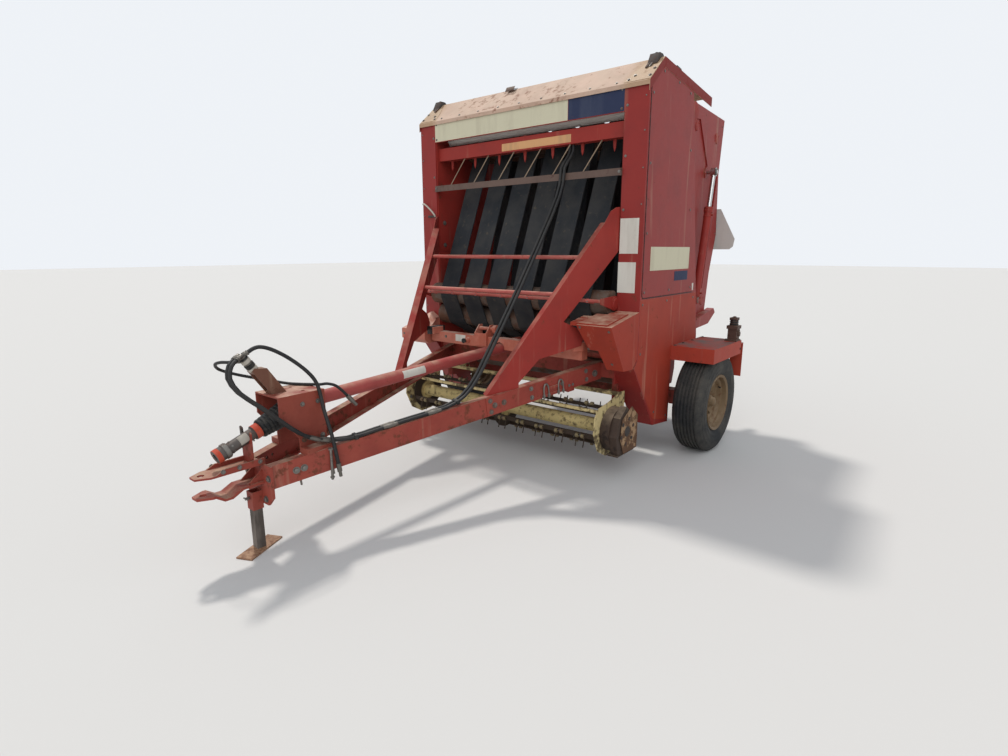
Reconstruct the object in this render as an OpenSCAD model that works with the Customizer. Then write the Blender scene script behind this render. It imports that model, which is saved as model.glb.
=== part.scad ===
/* [Body] */
// Width over the two side housings
body_w = 2030; // [2000:10:2060]
// Width of the front face of each post
post_w = 165; // [150:5:170]
// Distance from the axle forward to the front face
front_y = 820; // [810:5:830]
// Height of the ridge of the roof
ridge_z = 2690; // [2670:5:2720]
// Rise of the roof from its front eave to the ridge
roof_rise = 160; // [140:5:180]
// Thickness of the sheet steel
skin_t = 4; // [3:0.5:6]
// Thickness of the two chamber side walls
wall_t = 8; // [6:1:10]
// How far the roof stands over the housings at each side
roof_over = 4; // [2:1:8]

/* [Wheels] */
// Outer radius of a tyre
tyre_r = 380; // [370:5:385]
// Width of a tyre
tyre_w = 240; // [225:5:245]
// Radius of the bead seat of a rim
rim_r = 200; // [195:1:205]
// Gap between a housing and the inner face of its tyre
wheel_gap = 58; // [50:2:66]
// Radius of the wheel spindles
spindle_r = 22; // [18:1:26]
// Number of wheel bolts
lug_n = 6; // [4:1:8]

/* [Fenders] */
// Height of a fender's flat top
fender_z = 825; // [815:5:840]
// Depth of a fender's turned-down edge
fender_h = 105; // [90:5:108]
// How far a fender reaches out past its tyre
fender_over = 24; // [16:2:34]

/* [Drawbar] */
// Distance from the axle to the front ends of the beams
beam_front_y = 2960; // [2940:10:2980]
// Depth of a drawbar channel
beam_h = 122; // [114:2:128]
// Width of a drawbar channel's flanges
beam_b = 50; // [44:2:52]
// Thickness of the drawbar channels
beam_t = 8; // [6:1:10]
// Radius of the hitch pin holes
hitch_hole_r = 16; // [12:1:18]
// Width of the jack's square leg
jack_w = 46; // [44:2:56]
// Diameter of the driveline's shield tube
shield_d = 76; // [66:2:84]
// Radius of the hydraulic hoses
hose_r = 10; // [8:1:11]

/* [Belts] */
// Number of belts side by side
belt_n = 6; // [4:1:6]
// Distance between the middles of two belts
belt_pitch = 247; // [240:1:250]
// Width of one belt
belt_w = 178; // [150:2:190]
// Thickness of a belt
belt_t = 7; // [5:1:9]

/* [Tailgate] */
// Thickness of the tailgate's side sheets
gate_t = 6; // [5:1:8]
// Radius of the tailgate's hinge pins
hinge_r = 20; // [16:1:24]
// Radius of a cylinder's barrel
barrel_r = 31; // [28:1:33]
// Radius of a cylinder's rod
rod_r = 18; // [14:1:20]

/* [Pickup] */
// Radius from the reel's shaft to the middle of a tine bar
tine_bar_r = 150; // [140:2:152]
// Number of tine bars round the reel
tine_bar_n = 4; // [3:1:6]
// Number of double tines on each bar
tine_n = 10; // [6:1:10]
// Distance between two double tines
tine_pitch = 170; // [160:2:172]
// Length of a tine
tine_l = 84; // [70:2:86]
// Diameter of the tine wire
tine_d = 8; // [6:1:10]

/* [Hidden] */
$fn = 48;

// Clearances: between faces of different bodies, and of a shaft in its bore
gap = 0.3;
fit = 0.05;

// Named places across the machine
half_w = body_w / 2;
post_x = half_w - post_w;
wall_x = post_x - wall_t;
roller_x = wall_x - 12;
shaft_r = 20;

// Side outline: distance back from the axle, height
rear_top_y = -157;
rear_low_y = 205;
ridge_y = -635;
roof_rear_y = 185;
roof_drop = 0.11;
roof_seat = 0.02;
function roof_z(y) = ridge_z - (y - ridge_y) * roof_drop;
eave_z = ridge_z - roof_rise;
eave_slope = (ridge_z - eave_z) / (ridge_y + front_y);
arch_z = fender_z - fender_h - 5;
track_w = body_w + 2 * wheel_gap + tyre_w;
fender_reach = wheel_gap + tyre_w + fender_over;
foot_front = [[-front_y, 790], [-front_y - 42, 742], [-526, 272]];

// Tailgate hinge
hinge_y = 300;
hinge_z = eave_z + 30;
gate_x = wall_x - 30;

// Belt paths, anticlockwise seen from the right: distance back, height, radius
top_drum_z = eave_z - 198;
front_path = [[-400, top_drum_z, 75], [-850, 1167, 84], [-770, 990, 84], [-480, 850, 80], [-200, top_drum_z, 70]];
gate_path = [[430, eave_z - 50, 60], [400, 1000, 60], [780, 1080, 80], [850, 1600, 70], [880, eave_z - 90, 70]];
idler = [-655, eave_z - 135, 38];
floor_path = [[-350, 600, 110], [-60, 610, 100]];
belt_seat = 0.8;
guide_y = -1015;
guide_z = 1190;

// Frame rails
tube_y = -800;
tube_z = 640;
rail_z = 440;
rail_h = 80;
rail_w = 50;

// Drawbar beams
beam_nose_x = 118;
beam_rear = [735, -780];
beam_front_z = 405;
beam_rear_z = 690;
beam_nose = [beam_nose_x, -beam_front_y];
beam_run = beam_rear - beam_nose;
beam_plan = norm(beam_run);
beam_yaw = atan2(beam_run[0], beam_run[1]);
beam_pitch = atan2(beam_rear_z - beam_front_z, beam_plan);
beam_len = norm([beam_plan, beam_rear_z - beam_front_z]);
nose_t = 12;
lap_start = 1290;

// Struts: line of the foot's start and of the head in plan
strut_foot = [418, -1730];
strut_head = [wall_x - 4, -front_y + 8];
strut_run = strut_head - strut_foot;
strut_yaw = atan2(strut_run[0], strut_run[1]);
strut_len = norm(strut_run);
strut_t = 8;
flange_w = 44;
strut_low = [39, 632];
strut_top = [892, 1690];
rung_r = 14;

// Hitch, jack and driveline
hitch_y = beam_front_y + 290;
clevis_top = 467;
clevis_t = 10;
jack_y = -beam_front_y - nose_t - jack_w / 2 - 5 - gap;
jack_sleeve_z = 225;
stand_y = -2700;
stand_front = -2890;
stand_rear = -2626;
stand_z = 794;
shield_front = [0, stand_y + 40, 724];
shield_rear = [0, tube_y - 30, 806];
pto_pivot = [0, -2765, 700];
pto_dir = [0, -0.9363, -0.3511];
pto_len = 436;
joint_pin_r = 9;
pto_shaft_r = 30;

// Pickup
reel_y = -955;
reel_z = 335;
reel_side_x = 905;
pivot_y = -560;
pivot_z = 500;
pivot_r = 15;
pickup_tube = [-790, 535];
arm_x = wall_x - rail_w - 14;

// Tailgate cylinders
cyl_x = 885;
cyl_foot = [478, 1104];
cyl_head = [690, eave_z - 384];
cyl_len = norm(cyl_head - cyl_foot);
cyl_dir = [0, (cyl_head - cyl_foot)[0], (cyl_head - cyl_foot)[1]] / cyl_len;
barrel_l = 760;

// Extreme ends, and the axle's place behind the middle of the whole length
nose_tip_y = hitch_y + 40;
tail_tip_y = 1044;
axle_y = (nose_tip_y - tail_tip_y) / 2;

// Helpers

module placed() {
    translate([0, axle_y, 0]) children();
}

// A plate in a vertical lengthwise plane: points are [back, height], from x0 to x0 + t
module plate_x(pts, x0, t) {
    translate([x0, 0, 0]) rotate([90, 0, 90]) linear_extrude(t) polygon(pts);
}

// A plate in a vertical crosswise plane: points are [across, height], from y0 to y0 + t
module plate_y(pts, y0, t) {
    translate([0, y0 + t, 0]) rotate([90, 0, 0]) linear_extrude(t) polygon(pts);
}

// A box from one corner to the other
module box(a, b) {
    translate(a) cube(b - a);
}

// A round bar between two points
module bar(a, b, r) {
    v = b - a;
    translate(a) rotate([0, acos(v[2] / norm(v)), atan2(v[1], v[0])]) cylinder(r = r, h = norm(v));
}

// A crosswise round bar at [back, height]
module cross_bar(p, x0, x1, r) {
    translate([x0, p[0], p[1]]) rotate([0, 90, 0]) cylinder(r = r, h = x1 - x0);
}

module on_side(side) {
    if (side < 0) mirror([1, 0, 0]) children();
    else children();
}
module both_sides() {
    children();
    mirror([1, 0, 0]) children();
}

// A tube swept along points
function unit(v) = v / norm(v);
function tangent(p, i) = unit(p[min(i + 1, len(p) - 1)] - p[max(i - 1, 0)]);
function ring(p, i, r, n) =
    let (t = tangent(p, i), s = unit(cross(t, [1, 0.1, 0.2])), w = cross(s, t))
    [for (k = [0 : n - 1]) p[i] + r * (cos(360 * k / n) * s + sin(360 * k / n) * w)];
module tube(p, r, n = 8) {
    m = len(p);
    v = [for (i = [0 : m - 1]) each ring(p, i, r, n)];
    sides = [for (i = [0 : m - 2], k = [0 : n - 1])
        [i * n + k, i * n + (k + 1) % n, (i + 1) * n + (k + 1) % n, (i + 1) * n + k]];
    polyhedron(v, concat(sides, [[for (k = [n - 1 : -1 : 0]) k]], [[for (k = [0 : n - 1]) (m - 1) * n + k]]));
}
// Points on a smooth line through a chosen route
function spline_point(a, b, c, d, t) =
    0.5 * ((2 * b) + (c - a) * t + (2 * a - 5 * b + 4 * c - d) * t * t + (3 * b - a - 3 * c + d) * t * t * t);
function smooth(p, n) = concat(
    [for (i = [0 : len(p) - 2], k = [0 : n - 1])
        spline_point(p[max(i - 1, 0)], p[i], p[i + 1], p[min(i + 2, len(p) - 1)], k / n)],
    [p[len(p) - 1]]);

// Outline of a belt stretched round circles, offset outwards by e
function turn(p, i) =
    let (q = p[(i + 1) % len(p)], d = [q[0] - p[i][0], q[1] - p[i][1]])
    atan2(d[1], d[0]) - acos((p[i][2] - q[2]) / norm(d));
function belt_outline(p, e, n = 8) = [for (i = [0 : len(p) - 1])
    let (b = turn(p, i), a0 = turn(p, (i + len(p) - 1) % len(p)), a = a0 > b ? a0 - 360 : a0)
    for (k = [0 : n]) [p[i][0], p[i][1]] + (p[i][2] + e) * [cos(a + (b - a) * k / n), sin(a + (b - a) * k / n)]];
function belt_mid(i) = (i - (belt_n - 1) / 2) * belt_pitch;
module belts(path) {
    for (i = [0 : belt_n - 1]) {
        translate([belt_mid(i) - belt_w / 2, 0, 0]) rotate([90, 0, 90]) linear_extrude(belt_w) difference() {
            polygon(belt_outline(path, belt_seat + belt_t));
            polygon(belt_outline(path, belt_seat));
        }
    }
}
// Drums with their shafts running on into both walls
module rollers(path, half, shaft_half) {
    for (p = path) {
        cross_bar(p, -half, half, p[2]);
        cross_bar(p, -shaft_half, shaft_half, shaft_r);
    }
}
module roller_bores(path, x0, x1) {
    for (p = path) cross_bar(p, x0, x1, shaft_r + fit);
}

// Frame

module chassis() color("firebrick") placed() {
    box([-wall_x, tube_y, tube_z], [wall_x, tube_y + 100, tube_z + 100]);
    box([-wall_x + rail_w, 90, rail_z], [wall_x - rail_w, 160, rail_z + rail_h]);
    both_sides() {
        box([wall_x - rail_w, -700, rail_z], [wall_x, 160, rail_z + rail_h]);
        box([wall_x - rail_w, -740, rail_z], [wall_x, -700, tube_z]);
        cross_bar([pivot_y, pivot_z], arm_x - 8, wall_x - rail_w, pivot_r - fit);
    }
}

module axle() color("firebrick") placed() {
    stub_x = half_w + 5;
    box([-stub_x, -55, tyre_r - 55], [stub_x, 55, tyre_r + 55]);
    both_sides() {
        cross_bar([0, tyre_r], stub_x, track_w / 2 + 38, spindle_r);
        box([wall_x - rail_w + 3, -55, tyre_r + 55], [wall_x - 2, 55, rail_z]);
    }
}

// A housing: outer sheet, front post face, inner return, rear hem and the lap of the lower sheet
module side_housing(side) {
    outline = concat([[-front_y, eave_z], [ridge_y, ridge_z], [rear_top_y, roof_z(rear_top_y)],
        [rear_low_y, fender_z + 30], [rear_low_y, arch_z], [-257, arch_z], [-262, 241]],
        [foot_front[2], foot_front[1], foot_front[0]]);
    edge = concat([[-front_y, eave_z]], foot_front);
    back = [for (i = [len(edge) - 1 : -1 : 0]) edge[i]];
    hem = [[rear_top_y, roof_z(rear_top_y)], [rear_low_y, fender_z + 30], [rear_low_y, arch_z]];
    hem_back = [for (i = [2 : -1 : 0]) hem[i] - [skin_t, 0]];
    on_side(side) {
        difference() {
            plate_x(outline, half_w - skin_t, skin_t);
            box([half_w - 1.5, -front_y + 15, 1198], [half_w + 1, 48, 1201]);
        }
        plate_x(concat(edge, [for (p = back) p + [skin_t, 0]]), post_x, half_w - post_x);
        plate_x(concat(edge, [for (p = back) p + [90, 0]]), post_x, skin_t);
        plate_x(concat(hem, hem_back), half_w - 42, 42);
    }
}
module side_housing_left() color("firebrick") placed() side_housing(1);
module side_housing_right() color("firebrick") placed() side_housing(-1);

// A chamber wall with the bosses of the tailgate hinge, the front roller and the cylinder's foot
module chamber_wall(side) {
    outline = [[-front_y + 10, 605], [-front_y + 10, eave_z - 15], [ridge_y, ridge_z - 20],
        [150, roof_z(150) - 16], [hinge_y - 30, hinge_z + 60], [hinge_y + 55, hinge_z - 40],
        [235, eave_z - 180], [222, 1350], [480, 1150], [520, 1130], [520, 1075], [470, 1050],
        [rear_low_y, 960], [rear_low_y, 560], [170, rail_z], [-700, rail_z], [-740, 600]];
    on_side(side) difference() {
        union() {
            plate_x(outline, wall_x, wall_t);
            cross_bar([hinge_y, hinge_z], wall_x, post_x, 70);
            cross_bar(front_path[1], wall_x, post_x, 50);
            plate_x([[guide_y - 20, guide_z - 18], [guide_y - 20, guide_z + 18], [front_path[1][0], guide_z + 27],
                [front_path[1][0], front_path[1][1] - 50]], wall_x, wall_t);
            cross_bar([hinge_y, hinge_z], gate_x - 8, wall_x, hinge_r - fit);
            cross_bar(cyl_foot, post_x, cyl_x - 20 - gap, 21);
            cross_bar(cyl_foot, post_x, cyl_x + 24, 13 - fit);
        }
        roller_bores(concat(front_path, [idler], floor_path), wall_x - 1, post_x + 1);
    }
}
module chamber_wall_left() color("indianred") placed() chamber_wall(1);
module chamber_wall_right() color("indianred") placed() chamber_wall(-1);

// Roof and front boards

module roof() color("tan") placed() translate([0, 0, roof_seat]) {
    lip_y = -front_y - 12;
    top = [[lip_y, eave_z - 12 * eave_slope], [ridge_y, ridge_z], [roof_rear_y, roof_z(roof_rear_y)]];
    back = [top[2], top[1], top[0]];
    x1 = half_w + roof_over;
    plate_x(concat(top, [for (p = back) p + [0, skin_t]]), -x1, 2 * x1);
    box([-x1, lip_y, top[0][1] - 22], [x1, lip_y + skin_t, top[0][1] + skin_t]);
    both_sides() {
        plate_x(concat(top, [for (p = back) p - [0, 58]]), half_w + 0.5, roof_over - 0.5);
        // Lifting lugs at the ridge and on the rear slope
        plate_x([[-690, ridge_z - 40], [-655, ridge_z + 24], [-625, ridge_z + 24], [-585, ridge_z - 4]], half_w - 85, 60);
        plate_x([[-410, ridge_z - 22], [-390, ridge_z + 8], [-330, ridge_z], [-300, ridge_z - 34]], half_w - 65, 40);
    }
}

module header_board() color("ivory") placed() {
    box([-post_x, -front_y - 2, eave_z - 165], [post_x, -front_y + 10, eave_z - 12]);
}

header_z = eave_z - 305;
header_y = -785;
module header_tube() color("firebrick") placed() {
    box([-wall_x, header_y, header_z], [wall_x, header_y + 70, header_z + 95]);
    // Pointed guides between the belts
    for (i = [0 : belt_n]) translate([belt_mid(i) - belt_pitch / 2, 0, 0])
        plate_y([[-13, header_z + 1], [13, header_z + 1], [9, header_z - 50], [0, header_z - 76],
            [-9, header_z - 50]], header_y + 48, 6);
}

crossbar_z = eave_z - 545;
crossbar_h = 45;
module header_rods() color("tan") placed() {
    // Slanting rods from the crossbar up to the header tube, cut flush with both
    intersection() {
        union() for (i = [0 : belt_n - 1]) {
            x = belt_mid(i) - 60;
            bar([x - 8, -front_y - 8, crossbar_z + crossbar_h - 15], [x + 117, header_y + 17, header_z + 15], 4);
        }
        box([-wall_x, -front_y - 40, crossbar_z + crossbar_h], [wall_x, header_y + 60, header_z]);
    }
}

module crossbar() color("peru") placed() difference() {
    box([-post_x, -front_y - 15, crossbar_z], [post_x, -front_y + 10, crossbar_z + crossbar_h]);
    box([-post_x + 20, -front_y - 9, crossbar_z - 1], [post_x - 20, -front_y + 11, crossbar_z + crossbar_h - 6]);
}

// Lower guide bar with a finger in each gap between the belts
module belt_guide() color("rosybrown") placed() {
    cross_bar([guide_y, guide_z], -wall_x, wall_x, 12);
    for (i = [0 : belt_n]) translate([belt_mid(i) - belt_pitch / 2, 0, 0])
        plate_x([[guide_y - 14, guide_z - 12], [guide_y - 8, guide_z + 14], [guide_y + 60, guide_z + 2],
            [guide_y + 60, guide_z - 24]], -9, 18);
}

module front_rollers() color("dimgray") placed() {
    rollers(concat(front_path, [idler]), roller_x, post_x);
}

module belts_front() color("darkslategray") placed() belts(front_path);

module floor_rollers() color("dimgray") placed() rollers(floor_path, wall_x - rail_w - 10, post_x);

// Drawbar

module at_beam(side) {
    on_side(side) translate([beam_nose[0], beam_nose[1], beam_front_z])
        rotate([beam_pitch, 0, -beam_yaw]) children();
}
// Everything below the plane of a beam's top flange
module below_beam_top(side) {
    at_beam(side) translate([-400, -200, -600 + beam_h / 2]) cube([800, beam_len + 400, 600]);
}

module beam(side) {
    difference() {
        at_beam(side) {
            difference() {
                translate([-beam_b, -40, -beam_h / 2]) cube([beam_b, beam_len + 80, beam_h]);
                translate([-beam_b - 1, -50, -beam_h / 2 + beam_t])
                    cube([beam_b - beam_t + 1, beam_len + 100, beam_h - 2 * beam_t]);
            }
            // Lapped rear length of the web
            translate([0, lap_start, -beam_h / 2 + 2]) cube([6, beam_len - lap_start + 20, beam_h - 4]);
        }
        box([-900, -beam_front_y - 200, 0], [900, -beam_front_y, 900]);
        box([-900, tube_y, 0], [900, tube_y + 400, 1000]);
        for (d = [120, 160, lap_start + 60, lap_start + 130]) at_beam(side)
            translate([-beam_b / 2 - 30, d, 0]) rotate([0, 90, 0]) cylinder(r = 9, h = 80);
    }
}
module beam_left() color("firebrick") placed() beam(1);
module beam_right() color("firebrick") placed() beam(-1);

// A strut: flanged web from the beam's top flange up to the post, points are [along, height]
module at_strut(side) {
    on_side(side) translate([strut_foot[0], strut_foot[1], 0]) rotate([0, 0, -strut_yaw]) children();
}
module strut(side) {
    web = [[-5, 560], [-5, 578], strut_low, strut_top, [937, 1762], [977, 1786], [strut_len, 1790],
        [strut_len, 1512], [592, 1062], [695, 1015], [745, 940], [732, 895], [413, 831], [265, 690], [265, 560]];
    flange = [[-5, 560], [-5, 578], strut_low, strut_top, strut_top + [10, -2], strut_low + [10, -2], [5, 560]];
    difference() {
        union() {
            at_strut(side) {
                rotate([90, 0, 90]) linear_extrude(strut_t) polygon(web);
                translate([-flange_w, 0, 0]) rotate([90, 0, 90]) linear_extrude(flange_w + 2) polygon(flange);
            }
            on_side(side) box([wall_x - strut_t, -front_y + 5, 1512], [wall_x, -front_y + 115, 1788]);
        }
        below_beam_top(side);
        on_side(side) box([wall_x, -front_y - 50, 1400], [wall_x + 40, -front_y + 120, 1900]);
        on_side(side) for (z = [1560, 1740])
            cross_bar([-front_y + 70, z], wall_x - 20, wall_x + 10, 9);
    }
}
module strut_left() color("firebrick") placed() strut(1);
module strut_right() color("firebrick") placed() strut(-1);

// Cross rungs between the struts, cut to the struts' inner faces
strut_slope = (strut_top[0] - strut_low[0]) / (strut_top[1] - strut_low[1]);
rung_z = [1236, 1469];
module rungs() color("indianred") placed() difference() {
    for (z = rung_z) {
        u = strut_low[0] + (z - strut_low[1]) * strut_slope + (9 + rung_r) * 1.28 + flange_w * tan(strut_yaw) + 2;
        p = strut_foot + strut_run * (u / strut_len);
        cross_bar([p[1], z], -p[0] - 20, p[0] + 20, rung_r);
    }
    for (s = [-1, 1]) at_strut(s) translate([0, 0, 1100]) cube([200, strut_len + 100, 600]);
}

// Nose plate, open top channel and bent lower strap, both drilled for the pin
module hitch() color("brown") placed() difference() {
    front = -beam_front_y;
    tip = [[-60, front], [60, front], [60, front - 268], [26, front - 330], [-26, front - 330],
        [-60, front - 268]];
    union() {
        plate_y([[-130, 300], [-80, 250], [80, 250], [130, 300], [130, clevis_top], [-130, clevis_top]],
            front - nose_t, nose_t);
        translate([0, 0, clevis_top]) linear_extrude(clevis_t) polygon(tip);
        both_sides() plate_x([[front - 262, clevis_top], [front, clevis_top], [front, 500],
            [front - 200, 498]], 50, 10);
        intersection() {
            plate_x([[front - 330, 366], [front - 256, 366], [front - 215, 338], [front - 175, 338],
                [front - 120, 366], [front, 366], [front, 378], [front - 124, 378], [front - 180, 350],
                [front - 210, 350], [front - 252, 378], [front - 330, 378]], -60, 120);
            translate([0, 0, 300]) linear_extrude(200) polygon(tip);
        }
        // Hooked rest for the front driveline
        plate_y([[-50, clevis_top + 1], [38, clevis_top + 1], [44, 560], [44, 632], [36, 640], [36, 600], [-36, 600],
            [-44, 650], [-60, 655], [-60, 640], [-54, 560]], front - 54, 8);
        // Gusset between the strap and the nose plate
        for (x = [-44, 38]) plate_x([[front - 90, 378], [front - nose_t, 378], [front - nose_t, 440]], x, 6);
    }
    translate([0, -hitch_y, 300]) cylinder(r = hitch_hole_r, h = 200);
    bar(pto_pivot, pto_pivot + pto_len * pto_dir, pto_shaft_r + gap);
    for (x = [-62, 62]) translate([x, front - nose_t - 1, 280]) rotate([-90, 0, 0]) cylinder(r = 8, h = nose_t + 2);
}

module jack_sleeve() color("brown") placed() difference() {
    h = jack_w / 2 + gap;
    box([-h - 5, jack_y - h - 5, jack_sleeve_z], [h + 5, jack_y + h + 5, 322]);
    box([-h, jack_y - h, jack_sleeve_z - 1], [h, jack_y + h, 323]);
    translate([0, jack_y - h - 6, 290]) rotate([-90, 0, 0]) cylinder(r = 8, h = 12);
}

// Driveline

// Bridge over the driveline, standing on both beams, with the bearing of the shielded shaft under it
module driveline_stand() color("brown") placed() difference() {
    union() {
        box([-112, stand_front, stand_z], [112, stand_rear, stand_z + 8]);
        both_sides() {
            plate_x([[stand_front, stand_z], [stand_front, 690], [stand_front + 100, 570], [stand_front + 100, 440],
                [stand_rear - 4, 440], [stand_rear - 4, 570], [stand_rear, 700], [stand_rear, stand_z]], 104, 8);
            box([104, stand_front + 100, 440], [176, stand_rear - 4, 520]);
        }
        box([-104, stand_rear - 8, 700], [104, stand_rear, stand_z]);
        box([-55, stand_y, 668], [55, stand_y + 40, stand_z]);
    }
    for (s = [-1, 1]) below_beam_top(s);
    bar(shield_front - [0, 60, 2.5], shield_front + [0, 10, 0.5], 30);
    bar(shield_front + [0, 20, 1], shield_front + [0, 160, 7], shield_d / 2 + 10);
    for (x = [-60, 60]) translate([x, -2720, stand_z - 1]) cylinder(r = 10, h = 10);
}

module driveline_tube() color("indianred") placed() difference() {
    run = unit(shield_rear - shield_front);
    union() {
        intersection() {
            bar(shield_front - 10 * run, shield_rear + 10 * run, shield_d / 2);
            box([-100, shield_front[1], 600], [100, shield_rear[1], 900]);
        }
        // Fork of the cross joint in front of the bearing
        bar(shield_front + [0, 2, 0], [0, -2724, 721.3], 26);
        box([-46, -2740, 678], [46, -2722, 748]);
        both_sides() plate_x([[-2722, 678], [-2722, 748], [-2765, 724], [-2786, 712], [-2786, 688], [-2765, 676]],
            36, 10);
    }
    cross_bar([pto_pivot[1], pto_pivot[2]], -50, 50, joint_pin_r + fit);
}

module gearbox() color("firebrick") placed() {
    box([-80, tube_y, tube_z + 100], [80, tube_y + 100, 842]);
    bar(shield_rear, shield_rear + [0, 30, 0], 50);
    for (x = [-70, 70], z = [760, 822]) translate([x, tube_y - 5, z]) rotate([-90, 0, 0]) cylinder(r = 8, h = 6);
    // Cross shaft to the chain drive at the left wall
    cross_bar([tube_y + 50, 785], 80, wall_x, 24);
}

// Pressed post that holds the hose ends
module hose_bracket() color("saddlebrown") placed() difference() {
    plate_x([[-2866, stand_z + 8], [-2786, stand_z + 8], [-2880, 940], [-2945, 948], [-2955, 930]], -45, 60);
    plate_x([[-2900, stand_z], [-2850, stand_z + 30], [-2930, 915], [-2990, 915]], -39, 48);
    bar(coupler_low, coupler_high, 22);
}

// Sheet guards at the two lower front corners

function lid_z(y) = 1115 + (y + front_y) * 65 / 370;
module twine_box() color("tomato") placed() {
    side_x = half_w;
    box_x = side_x - 315;
    profile = [[-front_y, 1115], [-1190, 1050], [-1003, 745], [-880, 741], [-front_y, 798]];
    front = [[side_x, 700], [side_x, 1200], [box_x + 52, 1200], [box_x + 64, 1028], [box_x + 100, 878],
        [box_x + 168, 878], [box_x + 200, 700]];
    difference() {
        intersection() {
            union() {
                plate_x(profile, box_x, side_x - box_x);
                plate_x([[-1174, 1040], [-1174, lid_z(-1174) + 9], [-900, lid_z(-900) + 9], [-900, 1040]],
                    box_x + 72, 206);
            }
            plate_y(front, -1300, 600);
        }
        box([box_x - 100, -945, 700], [post_x, -700, 1300]);
        intersection() {
            plate_x([[-front_y - 8, 1085], [-1165, 1032], [-998, 760], [-885, 755], [-front_y - 8, 800]],
                box_x, side_x - box_x - skin_t);
            plate_y([[side_x - 4, 760], [side_x - 4, 1200], [box_x + 72, 1200], [box_x + 78, 1028],
                [box_x + 110, 884], [box_x + 176, 884], [box_x + 206, 760]], -1300, 500);
        }
    }
    // Slats on the inner side of the sloping lid
    for (y = [-1160, -1100, -1040]) plate_x([[y, lid_z(y) - 16], [y, lid_z(y) + 6], [y + 42, lid_z(y + 42) + 6],
        [y + 42, lid_z(y + 42) - 16]], half_w - 315, 74);
}

module side_hood() color("salmon") placed() {
    outer = 3 - half_w;
    inner = outer + 277;
    difference() {
        intersection() {
            plate_x([[-front_y, 798], [-front_y, 1010], [-1110, 880], [-1110, 800], [-1062, 765]], outer, 280);
            plate_y([[outer, 760], [outer, 870], [outer + 87, 1000], [inner, 880], [inner, 760]], -1200, 400);
        }
        box([-post_x, -880, 700], [-post_x + 250, -700, 1100]);
        plate_x([[-front_y - 4, 810], [-front_y - 4, 960], [-1092, 872], [-1092, 806], [-1062, 780]], outer + 4, 264);
    }
}

// Channel across the front with its bearer, knob and pulley bracket
channel_x = post_x - 130;
module cross_channel() color("salmon") placed() {
    difference() {
        union() {
            box([-channel_x, -1040, 790], [channel_x, -970, 873]);
            both_sides() box([channel_x - 90, -1110, 858], [channel_x + 12, -1000, 912]);
        }
        box([-channel_x + 95, -1030, 780], [channel_x - 95, -960, 865]);
        bar(shield_front, shield_rear, shield_d / 2 + 9);
        for (s = [-1, 1]) at_strut(s) translate([0, 0, 700]) cube([300, strut_len, 400]);
    }
    plate_x([[-1062, 805], [-1062, 900], [-1010, 960], [-975, 960], [-975, 873]], -230, 8);
    plate_x([[-1062, 805], [-1062, 900], [-1010, 960], [-975, 960], [-975, 873]], -120, 8);
    box([-222, -1062, 805], [-120, -1054, 900]);
    cross_bar([-1000, 930], -240, -40, 14);
    cross_bar([-1000, 930], -80, -50, 34);
    bar([-316, -1062, 832], [-316, -1040, 832], 22);
    bar([-316, -1080, 832], [-316, -1062, 832], 14);
}

// Fenders

fender_y = -272;
fender_l = 590;
module fender(side) {
    x1 = half_w + fender_reach;
    on_side(side) {
        difference() {
            box([half_w, fender_y, fender_z - fender_h], [x1, fender_y + fender_l, fender_z]);
            box([half_w + skin_t, fender_y + skin_t, fender_z - fender_h - 1],
                [x1 - skin_t, fender_y + fender_l - skin_t, fender_z - skin_t]);
        }
        box([x1 - 95, fender_y + fender_l, fender_z - 30], [x1, fender_y + fender_l + 50, fender_z - 24]);
        box([x1 - 95, fender_y + fender_l + 44, fender_z - 295], [x1, fender_y + fender_l + 50, fender_z - 24]);
    }
}
module fender_left() color("firebrick") placed() fender(1);
module fender_right() color("firebrick") placed() fender(-1);

// Stepped bracket with a lamp socket on the left fender
module fender_block() color("sienna") placed() {
    // Laid out from the fender's outer edge inwards
    x1 = half_w + fender_reach;
    box([x1 - 92, 195, fender_z], [x1 - 4, 300, fender_z + 12]);
    box([x1 - 79, 215, fender_z + 12], [x1 - 12, 290, fender_z + 95]);
    box([x1 - 87, 205, fender_z + 95], [x1 - 4, 296, fender_z + 120]);
    bar([x1 - 47, 252, fender_z + 120], [x1 - 47, 252, fender_z + 160], 28);
    box([x1 - 75, 225, fender_z + 160], [x1 - 19, 285, fender_z + 180]);
    cross_bar([262, fender_z + 55], x1 - 12, x1 - 1, 20);
}

// Hoses

coupler_low = [-15, -2930, 932];
coupler_high = [-15, -2992, 1013];
hose_pair_route = [[10, -3036, 1002], [32, -3072, 982], [62, -3098, 930], [90, -3070, 860], [120, -2990, 780],
    [142, -2900, 690], [148, -2800, 600], [158, -2690, 546], [205, -2560, 531], [250, -2400, 552],
    [306, -2200, 578], [366, -1980, 608], [388, -1850, 655], [390, -1740, 740], [388, -1640, 852],
    [385, -1307, 1262], [400, -960, 1760], [408, -862, 1950], [412, -850, 2060], [415, -790, 2130],
    [415, -752, 2180], [415, -750, 2223.5]];
hose_arch_route = [[-8, -2960, 1030], [-2, -2930, 1046], [8, -2900, 1050], [22, -2855, 1034], [44, -2800, 998],
    [74, -2750, 952], [100, -2708, 903], [118, -2680, 855], [126, -2665, 800], [148, -2660, 700],
    [204, -2660, 570], [226, -2657, 480], [230, -2650, 420]];
hose_loop_route = [[-45, -3005, 985], [-78, -3022, 980], [-120, -3046, 978], [-172, -3050, 962], [-215, -3015, 926],
    [-215, -2940, 890], [-190, -2850, 858], [-145, -2760, 829], [-100, -2705, 814], [-50, -2665, 810.5],
    [0, -2632, 810.5], [40, -2602, 810.5], [64, -2575, 813], [86, -2540, 800], [100, -2512, 772], [111, -2484, 736]];
loop_r = 8;
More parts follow.
